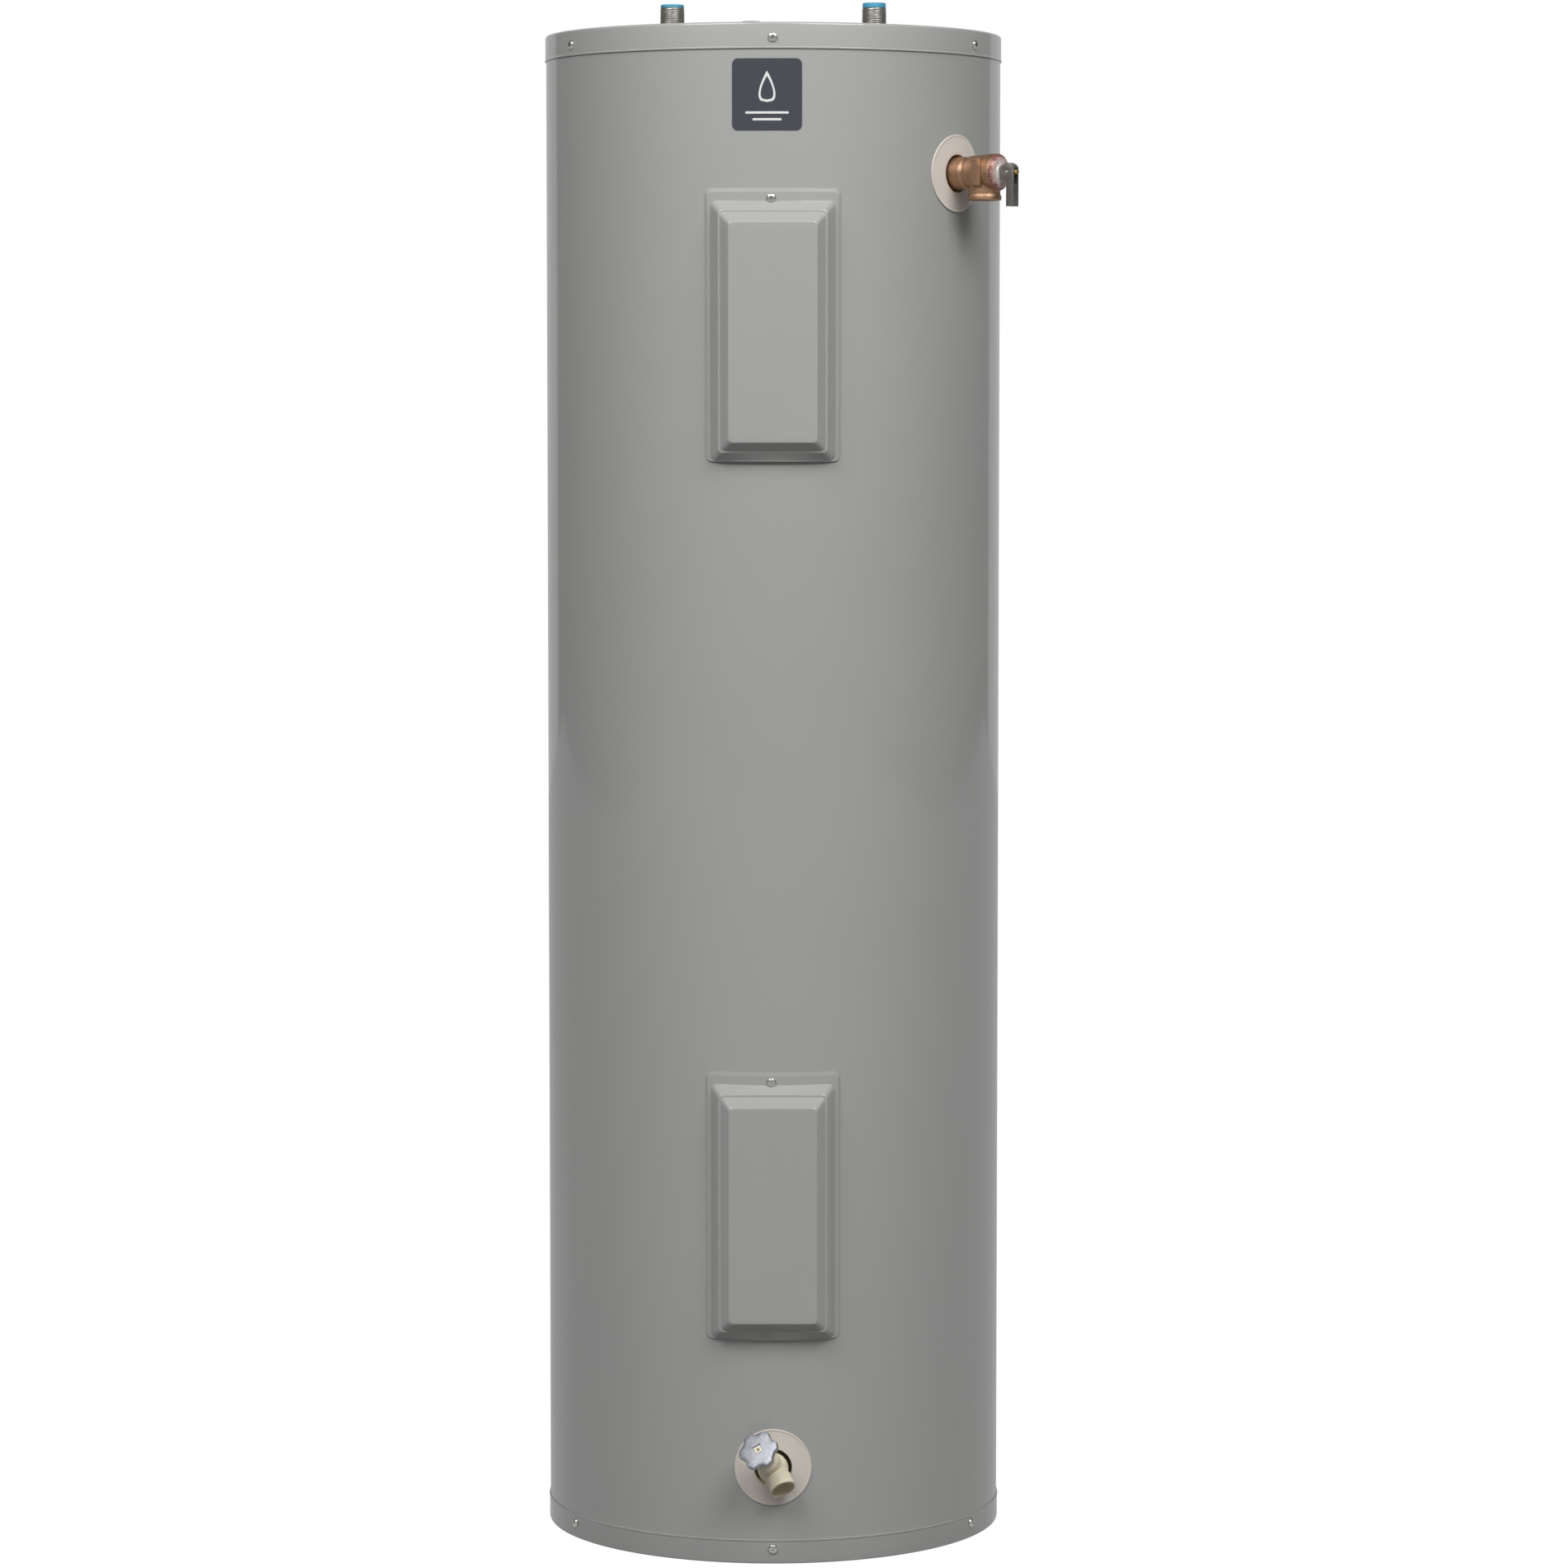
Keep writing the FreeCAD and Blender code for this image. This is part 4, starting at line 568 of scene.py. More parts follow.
def threaded_pipe(name, radius, bore, bottom, top, x):
    """Pipe whose outside carries a V thread of 60 degrees, tapering 1 in 32 on the radius."""
    steps, rows = 72, 110
    vertices = []
    for row in range(rows):
        share = row / (rows - 1)
        z = bottom + (top - bottom) * share
        for step in range(steps):
            angle = 2 * math.pi * step / steps
            phase = ((z / pitch) - step / steps) % 1.0
            depth = pitch * 0.62 * min(1, max(0, (z - bottom) / 2.0)) * (1 - abs(2 * phase - 1))
            r = radius - max(0, z - bottom) / 32 * 0.5 - depth * 0.75
            if top - z < 0.8:
                r = min(r, radius - 1.6)
            vertices.append((r * math.cos(angle), r * math.sin(angle), z))
    for r, z in ((bore + 0.3, top), (bore, top - 0.5), (bore, bottom)):
        for step in range(steps):
            angle = 2 * math.pi * step / steps
            vertices.append((r * math.cos(angle), r * math.sin(angle), z))
    total = rows + 3
    faces = [(k * steps + s, k * steps + (s + 1) % steps, (k + 1) % total * steps + (s + 1) % steps,
              (k + 1) % total * steps + s) for k in range(total) for s in range(steps)]
    return mesh_object(name, vertices, faces, Matrix.Translation((x / 1000, 0, 0)))


for side, at in (("cold", cold_at), ("hot", hot_at)):
    low, high = box_mm(side + "_nipple")
    pipe = threaded_pipe(side + "_pipe", 13.3, 10.5, low.z, high.z, at.x)
    dress(pipe, thread_steel, "heater", "pipe_steel", side + "_nipple", crease=60)
    low, high = box_mm(side + "_nipple_liner")
    rim = box_mm(side + "_nipple")[1].z
    liner = turned(side + "_liner", filleted([
        (8.9, low.z, 0), (10.5, low.z, 0), (10.5, rim, 0), (11.8, rim + 0.02, 0.3), (11.6, high.z, 0.7),
        (8.9, high.z, 0.6)]), 64, Matrix.Translation((at.x / 1000, 0, 0)))
    dress(liner, liner_blue, "heater", "liner", side + "_nipple_liner")

# ---------------------------------------- anode cap
# A soft grey plastic cap pressed over the anode's hexagon head.

# Soft vinyl, IOR 1.48: dull grey, slightly darker in its pores.
cap_grey = patterned("grey_soft_plastic", "#8d8c88", 0.55, 0.0, ("#878682", "#93928e", 8),
                     (0.9, 0.05, 0.4), IOR=1.48)
anode_cap = turned("anode_cover", filleted([
    (0, anode_high.z, 0), (9, anode_high.z, 0), (13.4, anode_high.z - 1.2, 2.5),
    (15.4, anode_low.z + 1.6, 0.8), (17, anode_low.z + 1.2, 0.4), (17, anode_low.z, 0.3),
    (14.2, anode_low.z, 0), (12.4, anode_high.z - 3, 1),
    (0, anode_high.z - 2, 0)]), 64, Matrix.Translation((anode_at.x / 1000, anode_at.y / 1000, 0)))
dress(anode_cap, cap_grey, "heater", "cap_plastic", "anode_cap")

# ---------------------------------------- wiring cover
# A flat plate with rounded corners and a shallow pressed border, over the junction box.
def soft_copy(name, node, width_mm, crease=35):
    """Copy of a CAD node's mesh with its sharp edges broken by a small bevel."""
    source = frame["nodes"][node]
    source = source if hasattr(source, "data") else bpy.data.objects[node]
    mesh = source.data.copy()
    build = bmesh.new()
    build.from_mesh(mesh)
    bmesh.ops.remove_doubles(build, verts=build.verts, dist=2e-6)
    bmesh.ops.dissolve_limit(build, angle_limit=math.radians(1), verts=build.verts, edges=build.edges)
    build.to_mesh(mesh)
    build.free()
    piece = bpy.data.objects.new(name, mesh)
    bpy.context.scene.collection.objects.link(piece)
    edge = piece.modifiers.new("edge", "BEVEL")
    edge.width = width_mm / 1000
    edge.segments = 2
    edge.limit_method = "ANGLE"
    edge.angle_limit = math.radians(crease)
    edge.use_clamp_overlap = True
    return evaluated(piece)


def softened(name, node, width_mm, material, body, slot):
    """A CAD node's copy with broken edges, finished and put in its place."""
    return dress(soft_copy(name, node, width_mm), material, body, slot, node)


softened("wiring_cover_plate", "junction_cover", 0.25, enamel, "wiring_cover", "jacket_paint")
low, high = box_mm("junction_cover_screw")
lift = Matrix.Translation(((low.x + high.x) / 2000, (low.y + high.y) / 2000, cover_high.z / 1000))
fixing = screw("wiring_cover_screw", lift)
dress(fixing, zinc, "wiring_cover", "zinc_steel", "junction_cover_screw", crease=28)

# ---------------------------------------- escutcheons
# Pale flexible plastic rings that close the gap round each valve. They bend to the jacket, and their
# rim stands off it by about a millimetre.

# Flexible plastic, IOR 1.49: a warm pale ring with a faint glow at its thin rim.
rosette_plastic = patterned("pale_moulded_plastic", "#d3ccc4", 0.45, 0.0, ("#cfc8c0", "#d8d1c9", 22),
                            (1.4, 0.03, 0.3), IOR=1.49, Subsurface_Weight=0.08,
                            Subsurface_Radius=(0.004, 0.003, 0.002))


def rosette(name, place, node):
    """Ring with a rolled rim, its height over the jacket added to the jacket's own curve."""
    steps = 96
    section = filleted([(18.5, 0.25, 0.2), (18.5, 1.5, 0.5), (22, 1.55, 2), (35.5, 1.05, 3), (37.2, 1.5, 0.6),
                        (38, 1.2, 0.4), (38, 0.25, 0.2)], 4)
    vertices = []
    for step in range(steps):
        angle = 2 * math.pi * step / steps
        for r, lift in section:
            x, y = r * math.cos(angle), r * math.sin(angle)
            vertices.append((x, y, math.sqrt((jacket_r + lift) ** 2 - x ** 2)))
    count = len(section)
    faces = [(s * count + i, (s + 1) % steps * count + i, (s + 1) % steps * count + (i + 1) % count,
              s * count + (i + 1) % count) for s in range(steps) for i in range(count)]
    ring = mesh_object(name, vertices, faces, place)
    return dress(ring, rosette_plastic, "heater", "rosette", node)


rosette("relief_rosette", relief_place, "relief_escutcheon")
rosette("drain_rosette", drain_front, "drain_escutcheon")

# ---------------------------------------- relief valve body
# Cast bronze, tumbled and left bare: the inlet neck, the barrel and the outlet run into each other
# with soft cast corners, and a plain raised pad stands on its side.

# Cast bronze, a metal: brown with pinker worn spots and a sand-cast grain.
bronze = patterned("cast_bronze", "#a98a70", 0.42, 1.0, ("#8d6c55", "#c09c7e", 7, 5), (0.9, 0.10, 0.5, 4),
                   (0.41, 0.55))
outlet_at = (Vector(mounts["relief_discharge"]["pos_m"]).xy).length * 1000
outlet_bore = mounts["relief_discharge"]["dims"]["r_mm"]
barrel_end = outlet_at + 16.5
inlet_start = 198.2
down = relief_place @ Matrix.Translation((0, 0, outlet_at / 1000)) @ Matrix.Rotation(math.radians(90), 4, "X")


def cast(thing, voxel_mm, rounds):
    """Blend joined pieces into one casting."""
    step = thing.modifiers.new("skin", "REMESH")
    step.mode = "VOXEL"
    step.voxel_size = voxel_mm / 1000
    evaluated(thing)
    soft = thing.modifiers.new("soft", "SMOOTH")
    soft.factor = 0.5
    soft.iterations = rounds
    return evaluated(thing)


relief_body = turned("relief_casting", filleted([
    (0, 218, 0), (15.9, 218, 0), (15.9, 241.5, 1.2), (14.3, 243.5, 1), (14.3, 246, 1), (16.8, 247.5, 1),
    (17.2, outlet_at - 5, 3), (18.2, barrel_end - 7, 3), (18.2, barrel_end, 0.5), (0, barrel_end, 0)]), 72,
    relief_place)
outlet = turned("outlet", filleted([(0, 0, 0), (15.6, 0, 0), (15.6, 21.5, 0.8), (16.6, 23, 0.6),
                                    (16.6, 27, 0.8), (0, 27, 0)]), 64, down)
joined_with(relief_body, [outlet])
cast(relief_body, 0.5, 3)
pad = block("pad", (-19.2, -13, outlet_at - 3), (-10, 13, outlet_at + 7.5), relief_place)
edge = pad.modifiers.new("edge", "BEVEL")
edge.width = 0.0006
edge.segments = 3
evaluated(pad)
bores = [turned("outlet_bore", [(0, -2), (outlet_bore, -2), (outlet_bore, 30), (0, 30)], 64, down),
         turned("chamber_bore", [(0, outlet_at - 7), (14, outlet_at - 7), (14, barrel_end + 2),
                                 (0, barrel_end + 2)], 64, relief_place)]
joined_with(joined_with(relief_body, [pad]), bores, "DIFFERENCE")
shank = turned("relief_shank", [(8, inlet_start), (13.3, inlet_start), (13.3, 219), (8, 219)], 64,
               relief_place)
joined_with(relief_body, [shank])
dress(relief_body, bronze, "heater", "bronze", "relief_body", crease=50)

# ---------------------------------------- relief valve cap
# A thin metal cap crimped over the barrel, enamelled white with a plain red band, and a grey washer
# in its middle that the lever bears on.

# Enamelled tin: silvery white in the middle, a worn red edge.
cap_white, tree, shader, place = finish_of("worn_enamelled_cap", "#e6ded6", 0.34, 0.35)
centre = add(tree, "ShaderNodeMapping", {"vector_type": "POINT"},
             {"Location": tuple(-v for v in relief_place.translation)}, {"Vector": place})
along = add(tree, "ShaderNodeVectorMath", {"operation": "CROSS_PRODUCT"}, {1: tuple(relief_out)},
            {0: centre.outputs["Vector"]})
radius = add(tree, "ShaderNodeVectorMath", {"operation": "LENGTH"}, links={0: along.outputs["Vector"]})
wear_mm = 2.0
wear = add(tree, "ShaderNodeTexNoise", inputs={"Scale": 1000 / wear_mm, "Detail": 5.0},
           links={"Vector": place})
worn = add(tree, "ShaderNodeMath", {"operation": "MULTIPLY_ADD"}, {1: 0.009},
           {0: wear.outputs["Fac"], 2: radius.outputs["Value"]})
band = add(tree, "ShaderNodeValToRGB", links={"Fac": add(
    tree, "ShaderNodeMapRange", inputs={"From Min": 0.004, "From Max": 0.0235},
    links={"Value": worn.outputs["Value"]}).outputs["Result"]})
band.color_ramp.elements[0].color = linear("#cfc9c2")
band.color_ramp.elements[1].color = linear("#7f544b")
for position, code in ((0.50, "#e2dad2"), (0.70, "#cdb2aa"), (0.84, "#8f5d57")):
    band.color_ramp.elements.new(position).color = linear(code)
tree.links.new(band.outputs["Color"], shader.inputs["Base Color"])
grain(tree, shader, place, 1.2, 0.03, 0.3)
cap_end = barrel_end + 4.5
relief_cap = turned("relief_valve_cap", filleted([
    (2.5, barrel_end, 0), (17.9, barrel_end, 0.2), (17.9, barrel_end + 0.7, 0.4), (13.4, barrel_end + 3.6, 1),
    (8.4, barrel_end + 3.9, 0.4), (7.8, cap_end, 0.3), (2.5, cap_end, 0)]), 72, relief_place)
dress(relief_cap, cap_white, "heater", "cap_label", "relief_cap")

# ---------------------------------------- relief lever, its pin and the stem
# The lever is folded from galvanised strip into a channel. It hangs from a pin through the turned
# brass stem, whose tip shows through the window in the web.

# Galvanised strip: cloudy mid grey with broad, soft glints.
strip = patterned("galvanised_strip", "#86837f", 0.42, 1.0, ("#74716d", "#96938f", 4, 4),
                  (0.6, 0.05, 0.4), (0.36, 0.55))
# Turned brass: one small yellow spot of light in the lever.
brass = patterned("turned_brass", "#d2b36a", 0.28, 1.0, ("#c7a75c", "#dcc07c", 3), (0.3, 0.02, 0.3))
softened("lever_channel", "relief_lever", 0.35, strip, "relief_handle", "zinc_steel")
softened("lever_pin", "relief_lever_pin", 0.15, zinc, "relief_handle", "zinc_steel")
softened("stem_rod", "relief_stem", 0.3, brass, "relief_plunger", "brass_rod")

# ---------------------------------------- drain valve body
# Injection moulded in cream plastic: a bonnet for the stem, slanting up, and a hose outlet slanting
# down, both growing out of a rounded body.

# Polypropylene, IOR 1.49: cream, a little translucent, smooth highlights.
cream = patterned("cream_moulded_plastic", "#e6dcc4", 0.38, 0.0, ("#e1d6bb", "#eae1cc", 14),
                  (1.5, 0.03, 0.3), IOR=1.49, Subsurface_Weight=0.15,
                  Subsurface_Radius=(0.006, 0.004, 0.002))
stem_way = Vector(joints["drain_lift"]["axis"])
hose_way = Vector(mounts["drain_outlet"]["axis"])
knob_middle = Vector(joints["drain_knob_turn"]["pos_m"])
meeting = knob_middle - stem_way * 0.0445


def frame_along(way):
    """Place with +Z along a way, starting where the drain valve's axes meet."""
    side = way.cross(stem_way.cross(hose_way)).normalized()
    return Matrix.Translation(meeting) @ Matrix((side, way.cross(side), way)).transposed().to_4x4()


stem_place = frame_along(stem_way)
hose_place = frame_along(hose_way)
shank_place = frame_along(Vector((0, 1, 0)))
drain_body = turned("drain_moulding", filleted([(0, 0, 0), (13.9, 0, 0), (13.9, 16.2, 0), (0, 16.2, 0)]), 64,
                    shank_place)
ball = turned("ball", [(15.2 * math.cos(math.radians(a)), 15.2 * math.sin(math.radians(a)))
                       for a in range(-90, 91, 6)], 48, stem_place)
bonnet = turned("bonnet", filleted([(0, 0, 0), (12, 0, 0), (12, 20, 1.5), (10.2, 22, 1), (9.4, 27, 1.2),
                                    (0, 27, 0)]), 64, stem_place)
outlet = turned("hose_outlet", filleted([(0, 0, 0), (12.6, 0, 0), (12.6, 11.5, 1), (13.5, 12.9, 0.6),
                                         (13.5, 26, 0.8), (0, 26, 0)]), 64, hose_place)
joined_with(drain_body, [ball, bonnet, outlet])
cast(drain_body, 0.45, 3)
bores = [turned("hose_bore", filleted([(0, 8, 0), (9.4, 8, 0), (9.4, 13, 0), (11.2, 16, 0), (11.2, 30, 0),
                                       (0, 30, 0)]), 64, hose_place),
         turned("stem_bore", [(0, 12), (5.1, 12), (5.1, 30), (0, 30)], 48, stem_place)]
joined_with(drain_body, bores, "DIFFERENCE")
shank = turned("drain_shank", [(6, 16), (13.3, 16), (13.3, 37), (6, 37)], 64, shank_place)
joined_with(drain_body, [shank])
dress(drain_body, cream, "heater", "valve_plastic", "drain_body", crease=50)
softened("drain_spindle", "drain_stem", 0.25, cream, "drain_handle", "valve_plastic")

# ---------------------------------------- drain knob
# Die-cast zinc with six lobes. Its dished face shows fine ridges that run out from a square recess.

# Die-cast zinc: streaky silver grey, soft light along the lobes.
knob_metal = patterned("brushed_die_casting", "#94959a", 0.45, 1.0, ("#777880", "#b0b1b6", 4, 6),
                       (0.8, 0.05, 0.35, 3), (0.41, 0.55))
knob_rear = 41.0
knob_thick = 7.0
lobes = 6
knob_r = 19.6
scallop_r = 11.5
scallop_at = 28.0


def knob_radius(angle, share):
    """Rim of six lobes parted by round scallops; inner rings grow more nearly round."""
    lean = (angle - math.radians(14)) % (2 * math.pi / lobes) - math.pi / lobes
    across = scallop_at * math.sin(lean)
    cut = scallop_at * math.cos(lean) - math.sqrt(max(scallop_r ** 2 - across ** 2, 0.0))
    rim = knob_r if abs(across) >= scallop_r else min(knob_r, cut)
    soft = 0.5 * (rim + knob_r - math.sqrt((rim - knob_r) ** 2 + 0.35)) + 0.25
    return share * (soft * share ** 2 + 17.4 * (1 - share ** 2))


steps = 288
knob_face = knob_rear + knob_thick
stations = [(0.0, knob_rear + 0.2), (0.40, knob_rear + 0.2), (0.92, knob_rear), (0.985, knob_rear + 0.5),
            (1.0, knob_rear + 1.2), (1.0, knob_face - 1.5), (0.985, knob_face - 0.9),
            (0.95, knob_face - 0.65), (0.75, knob_face - 0.45), (0.55, knob_face - 0.2),
            (0.38, knob_face), (0.0, knob_face)]
vertices = []
for share, height in stations:
    for step in range(steps):
        angle = 2 * math.pi * step / steps
        ridge = 0.05 * math.cos(6 * lobes * angle) if 0.5 < share < 0.9 and height > knob_rear + 4 else 0.0
        r = knob_radius(angle, share)
        vertices.append((r * math.cos(angle), r * math.sin(angle), height + ridge))
faces = [(k * steps + s, k * steps + (s + 1) % steps, (k + 1) * steps + (s + 1) % steps, (k + 1) * steps + s)
         for k in range(len(stations) - 1) for s in range(steps)]
knob = mesh_object("drain_handwheel", vertices, faces, stem_place)
hub = turned("hub", filleted([(0, knob_rear - 5, 0), (7.4, knob_rear - 5, 0.6), (7.6, knob_rear + 1, 0),
                              (0, knob_rear + 1, 0)]), 48, stem_place)
joined_with(knob, [hub])
recess_half, square_half = 4.6, 3.25
socket_cuts = [block("recess", (-recess_half, -recess_half, knob_face - 1.3),
                     (recess_half, recess_half, knob_face + 2), stem_place),
               block("square", (-square_half, -square_half, knob_rear - 6),
                     (square_half, square_half, knob_face + 2), stem_place)]
joined_with(knob, socket_cuts, "DIFFERENCE")
edge = knob.modifiers.new("edge", "BEVEL")
edge.width = 0.00025
edge.segments = 2
edge.limit_method = "ANGLE"
edge.angle_limit = math.radians(50)
evaluated(knob)
dress(knob, knob_metal, "drain_handle", "knob_metal", "drain_knob", crease=40)

# ---------------------------------------- inside pieces
# Everything behind the panels keeps its CAD shape: the tank, foam, controls and wiring each get the
# finish of the real thing.
def coat(material, *names):
    """Give CAD nodes a finish in place of the plain one."""
    for name in names:
        source = frame["nodes"][name]
        source = source if hasattr(source, "data") else bpy.data.objects[name]
        for slot in source.material_slots:
            slot.material = material
        if not source.material_slots:
            source.data.materials.append(material)


# Sprayed urethane: dull straw yellow with a lumpy skin.
coat(patterned("sprayed_urethane_foam", "#d9c48a", 0.85, 0.0, ("#cdb577", "#e3d09a", 18, 5),
               (2.5, 0.6, 0.6, 5)), "foam_wall", "foam_top")
# Glass fibre: yellow wool, fuzzy at grazing light.
fibre, tree, shader, place = finish_of("yellow_glass_fibre", "#e2cf74", 0.95, Sheen_Weight=0.4)
strand_mm = 5.5
strands = add(tree, "ShaderNodeTexWave", {"wave_type": "BANDS"},
              {"Scale": 1000 / strand_mm, "Distortion": 14.0, "Detail": 4.0, "Detail Scale": 2.0},
              {"Vector": place})
fluff = add(tree, "ShaderNodeBump", inputs={"Strength": 0.7, "Distance": 0.001},
            links={"Height": strands.outputs["Fac"]})
tree.links.new(fluff.outputs["Normal"], shader.inputs["Normal"])
mottle(tree, shader, place, "#d4be5e", "#ecdc8c", 6, 6)
coat(fibre, "base_insulation_ring", "upper_panel_insulation", "lower_panel_insulation")
# Hot rolled steel: dark blue-brown mill scale with uneven gloss.
coat(patterned("hot_rolled_steel", "#4c4946", 0.55, 1.0, ("#3d3a38", "#5f5b57", 30, 5),
               (1.5, 0.05, 0.4), (0.42, 0.68)),
     "tank_shell", "tank_top_head", "tank_bottom_head", "tank_spuds")
# Phenolic, IOR 1.6: black with a hard, slightly waxy shine.
phenolic = patterned("black_phenolic_moulding", "#1f1e1d", 0.40, 0.0, ("#191817", "#292725", 5),
                     (0.6, 0.04, 0.4), IOR=1.6)
for case, node in (("upper_control_case", "upper_thermostat"), ("lower_control_case", "lower_thermostat"),
                   ("limit_case", "high_limit_control")):
    softened(case, node, 0.8, phenolic, "heater", "phenolic")
# White plastic dial, IOR 1.49: clean satin white.
white_dial = patterned("white_dial_plastic", "#e4e2dc", 0.38, 0.0, ("#dedcd5", "#eae8e3", 5),
                       (0.6, 0.02, 0.3), IOR=1.49)
for side in ("upper", "lower"):
    softened(side + "_dial_disc", side + "_dial", 0.25, white_dial, side + "_setting", "dial")
# Red plastic button, IOR 1.49: the one bright colour behind the cover.
red = patterned("red_button_plastic", "#b3211c", 0.30, 0.0, ("#ab1d19", "#bd2620", 4), (0.6, 0.02, 0.3),
                IOR=1.49)
softened("reset_cap", "reset_button", 0.3, red, "reset", "reset_red")
# Plated element: greyish metal with cloudy heat marks.
sheath = patterned("plated_element", "#9a9894", 0.36, 1.0, ("#8a8884", "#aaa8a4", 8), (0.8, 0.03, 0.4),
                   (0.28, 0.5))
for side in ("upper", "lower"):
    softened(side + "_element_screwed", side + "_element", 0.5, sheath, "heater", "element")
# Spangled zinc sheet: crystal patches of slightly different grey.
galvanised, tree, shader, place = finish_of("spangled_zinc_sheet", "#a9acae", 0.40, 1.0)
spangle_mm = 6.0
spangle = add(tree, "ShaderNodeTexVoronoi", inputs={"Scale": 1000 / spangle_mm}, links={"Vector": place})
flake = add(tree, "ShaderNodeMix", {"data_type": "RGBA"},
            {"A": linear("#9b9ea1"), "B": linear("#bcbfc1")}, {"Factor": spangle.outputs["Distance"]})
tree.links.new(flake.outputs["Result"], shader.inputs["Base Color"])
uneven_gloss(tree, shader, spangle.outputs["Distance"], 0.3, 0.55)
coat(galvanised, "junction_box", "upper_clip", "lower_clip")
# Rubber: matt black.
coat(patterned("black_rubber", "#171717", 0.75, 0.0, ("#131313", "#1e1e1e", 6), (0.8, 0.05, 0.4)),
     "element_gaskets", "relief_disc", "drain_washer")
# Green dyed zinc: marks the ground screw.
coat(patterned("green_dyed_zinc", "#2c6b3a", 0.35, 0.7, ("#25602f", "#347a45", 2), (0.4, 0.02, 0.3)),
     "ground_screw")
# Vinyl insulation, IOR 1.5: black, red and yellow leads told apart by where they run.
wire_skin, tree, shader, place = finish_of("wire_insulation", "#1c1c1e", 0.42, IOR=1.5)
across = add(tree, "ShaderNodeSeparateXYZ", links={"Vector": place})
colours = add(tree, "ShaderNodeValToRGB", links={"Fac": add(
    tree, "ShaderNodeMapRange", inputs={"From Min": 0.0, "From Max": 0.048},
    links={"Value": across.outputs["X"]}).outputs["Result"]})
colours.color_ramp.interpolation = "CONSTANT"
colours.color_ramp.elements[0].color = linear("#1c1c1e")
colours.color_ramp.elements[1].position = 0.25
colours.color_ramp.elements[1].color = linear("#a3201c")
for position, code in ((0.375, "#d8b52a"), (0.52, "#1c1c1e"), (0.79, "#a3201c")):
    colours.color_ramp.elements.new(position).color = linear(code)
tree.links.new(colours.outputs["Color"], shader.inputs["Base Color"])
grain(tree, shader, place, 0.9, 0.02, 0.3)
coat(wire_skin, "supply_wires", "link_wires")
coat(brass, "terminal_screws", "relief_probe")
coat(zinc, "anode_plug")
# Magnesium: dull light grey, no clear reflections.
coat(patterned("dull_magnesium", "#8b8a88", 0.55, 1.0, ("#7d7c7a", "#999896", 12), (1.2, 0.05, 0.4)),
     "anode_rod")
# White polypropylene tube: plain, satin.
coat(patterned("white_dip_tube", "#e6e5e0", 0.40, 0.0, ("#e0dfda", "#eceae6", 10), (0.8, 0.02, 0.3),
               IOR=1.49), "dip_tube")
# The relief valve's spring bears on the cap; its copy here is fixed to the heater and keeps one shape as the
# stem lifts.
coil = bpy.data.objects.new("relief_coil", bpy.data.objects["relief_spring"].data.copy())
bpy.context.scene.collection.objects.link(coil)
coil.data.materials.clear()
dress(coil, strip, "heater", "spring_steel", "relief_spring")
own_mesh(coil)

# ---------------------------------------- floor, light and camera
# A pale floor and a white surround, seen at full white, with two soft boxes high on the left and
# right. The surround lights the heater mostly from the front and behind, and little from the sides.
def seen_white(tree, surface, lit, white, mirrored=0.0):
    """Show the white shader to the camera and by a share in reflections, and the lit one elsewhere."""
    ray = add(tree, "ShaderNodeLightPath")
    share = add(tree, "ShaderNodeMath", {"operation": "MULTIPLY_ADD", "use_clamp": True}, {1: mirrored},
                {0: ray.outputs["Is Glossy Ray"], 2: ray.outputs["Is Camera Ray"]})
    mix = add(tree, "ShaderNodeMixShader", links={0: share.outputs["Value"], 1: lit, 2: white})
    tree.links.new(mix.outputs[0], surface)


# Matt floor paint: pale, without reflections of its own.
floor_paint, tree, shader, place = finish_of("white_floor", "#6a6a6a", 0.9)
mottle(tree, shader, place, "#686868", "#6c6c6c", 400)
glow = add(tree, "ShaderNodeEmission", inputs={"Color": (1, 1, 1, 1), "Strength": 0.93})
both = add(tree, "ShaderNodeAddShader", links={0: shader.outputs[0], 1: glow.outputs[0]})
seen_white(tree, tree.nodes["Material Output"].inputs["Surface"], shader.outputs[0], both.outputs[0], 0.5)
half = 9000
floor = mesh_object("floor", [(-half, -half, -0.5), (half, -half, -0.5), (half, half, -0.5),
                              (-half, half, -0.5)], [(0, 1, 2, 3)])
floor.data.materials.append(floor_paint)

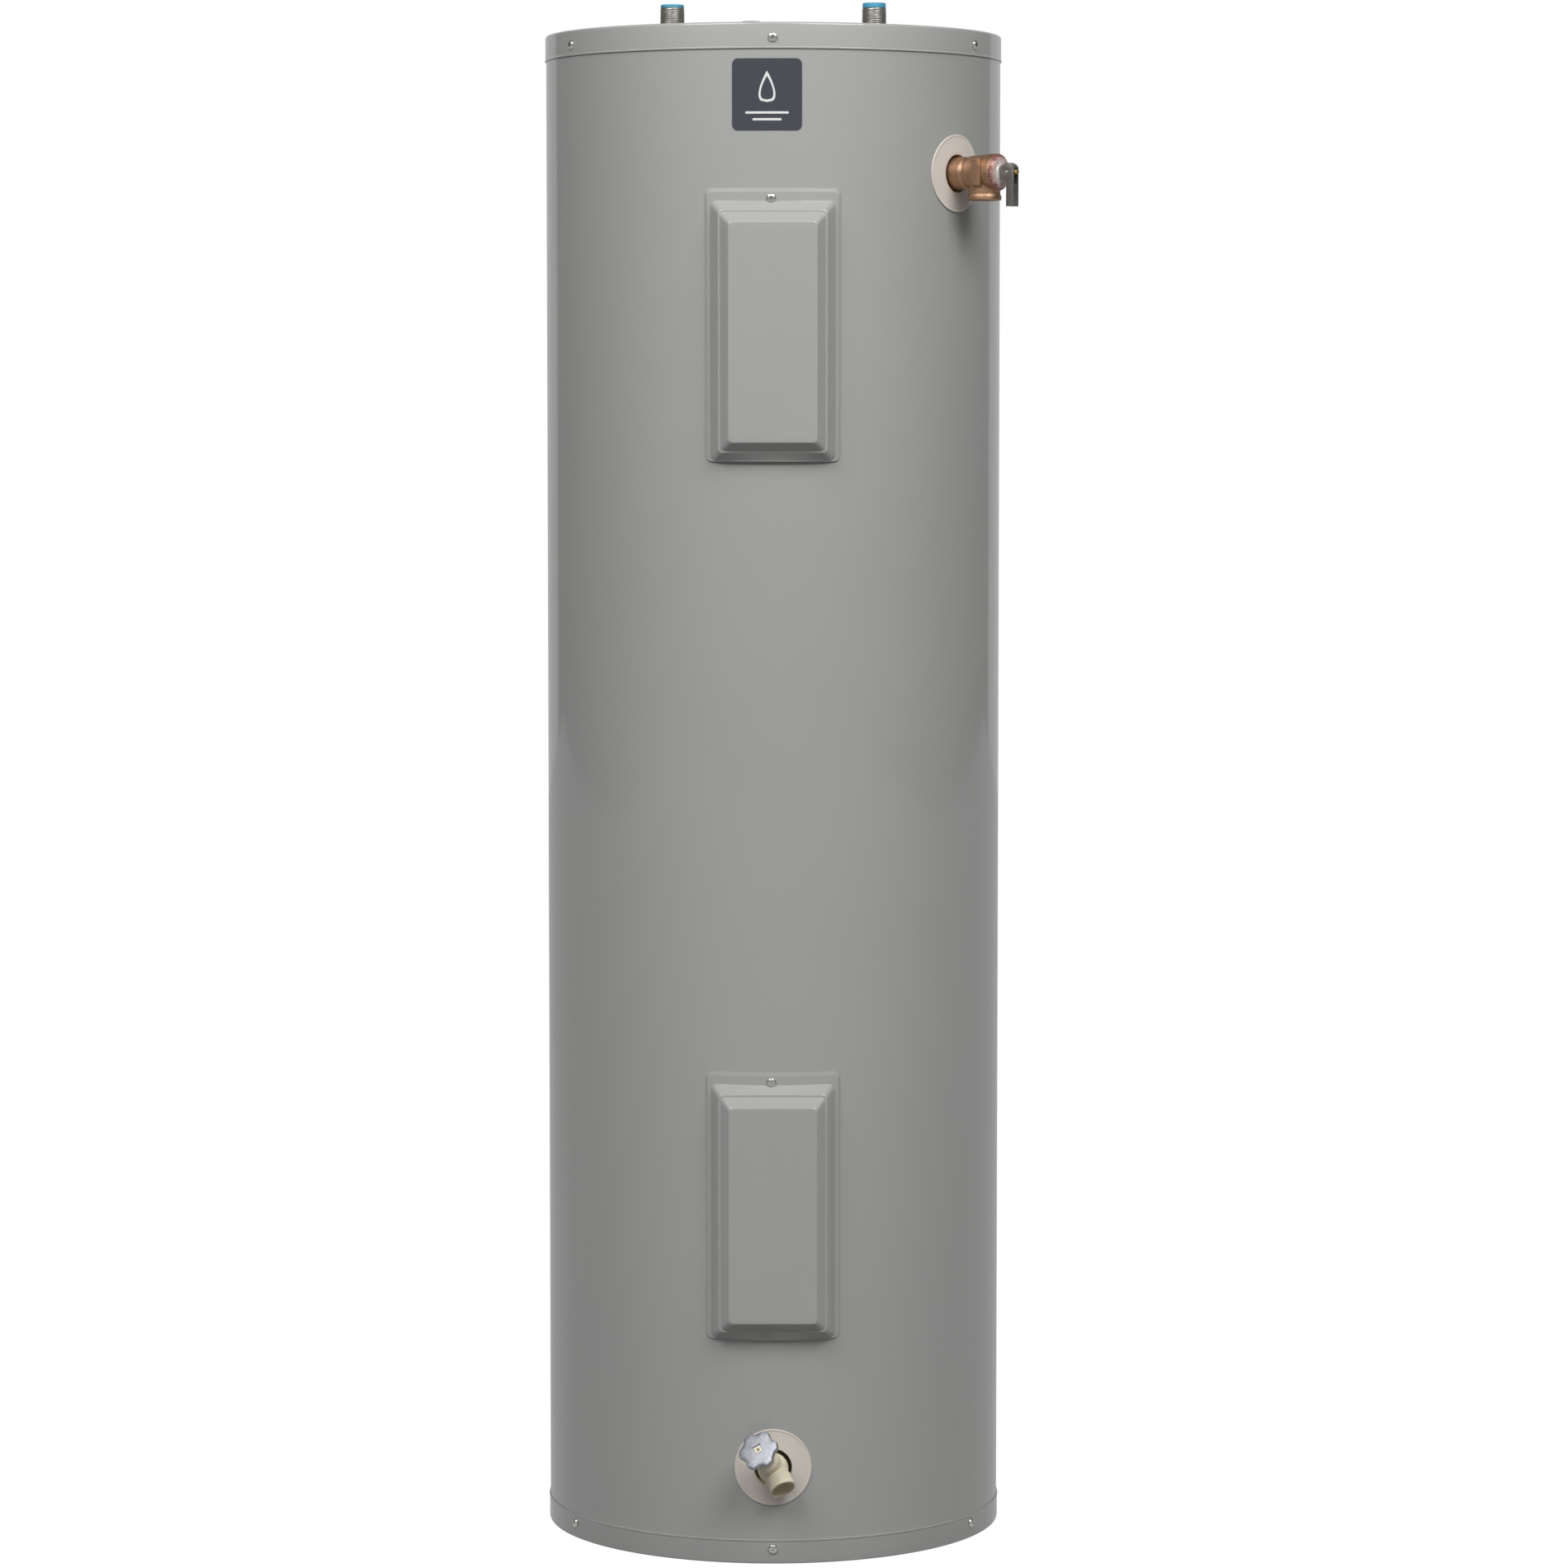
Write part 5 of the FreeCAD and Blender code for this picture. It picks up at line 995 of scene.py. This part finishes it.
world = bpy.data.worlds.new("white_surround")
world.use_nodes = True
tree = world.node_tree
around = add(tree, "ShaderNodeTexCoord")
way = add(tree, "ShaderNodeSeparateXYZ", links={"Vector": around.outputs["Generated"]})
depth = add(tree, "ShaderNodeMapRange", inputs={"From Min": -1.0, "From Max": 1.0},
            links={"Value": way.outputs["Y"]})
round_room = add(tree, "ShaderNodeValToRGB", links={"Fac": depth.outputs["Result"]})
levels = ((0.0, 0.26), (0.25, 0.24), (0.5, 0.20), (0.89, 0.17), (0.905, 0.70), (1.0, 0.66))
round_room.color_ramp.elements[0].color = (levels[0][1],) * 3 + (1,)
round_room.color_ramp.elements[1].color = (levels[-1][1],) * 3 + (1,)
for position, level in levels[1:-1]:
    round_room.color_ramp.elements.new(position).color = (level,) * 3 + (1,)
room = add(tree, "ShaderNodeBackground", links={"Color": round_room.outputs["Color"]})
white = add(tree, "ShaderNodeBackground", inputs={"Color": (1, 1, 1, 1)})
seen_white(tree, tree.nodes["World Output"].inputs["Surface"], room.outputs[0], white.outputs[0])
tree.nodes.remove(tree.nodes["Background"])
bpy.context.scene.world = world
bpy.context.scene.view_settings.view_transform = "Standard"


def soft_box(name, at, aim, wide, tall, power):
    lamp = bpy.data.lights.new(name, "AREA")
    lamp.shape = "RECTANGLE"
    lamp.size = wide
    lamp.size_y = tall
    lamp.energy = power
    thing = bpy.data.objects.new(name, lamp)
    thing.location = at
    thing.rotation_euler = (Vector(aim) - Vector(at)).to_track_quat("-Z", "Y").to_euler()
    bpy.context.scene.collection.objects.link(thing)


soft_box("left_soft_box", (-1.8, -2.9, 4.0), (0, 0, 0.9), 2.2, 1.8, 120)
soft_box("right_soft_box", (1.8, -2.9, 4.0), (0, 0, 0.9), 2.2, 1.8, 135)

# The camera stands 5.1 m in front of the heater, level with its upper panel and tipped a little
# down, with a long lens.
camera = bpy.data.cameras.new("camera")
camera.sensor_width = 36.0
camera.lens = 116.45
camera.shift_y = -0.0265
camera.clip_end = 60
view = bpy.data.objects.new("camera", camera)
view.location = (0.0108, -5.146, 1.1589)
view.rotation_euler = (math.radians(90 - 4.064), 0, 0)
bpy.context.scene.collection.objects.link(view)
bpy.context.scene.camera = view
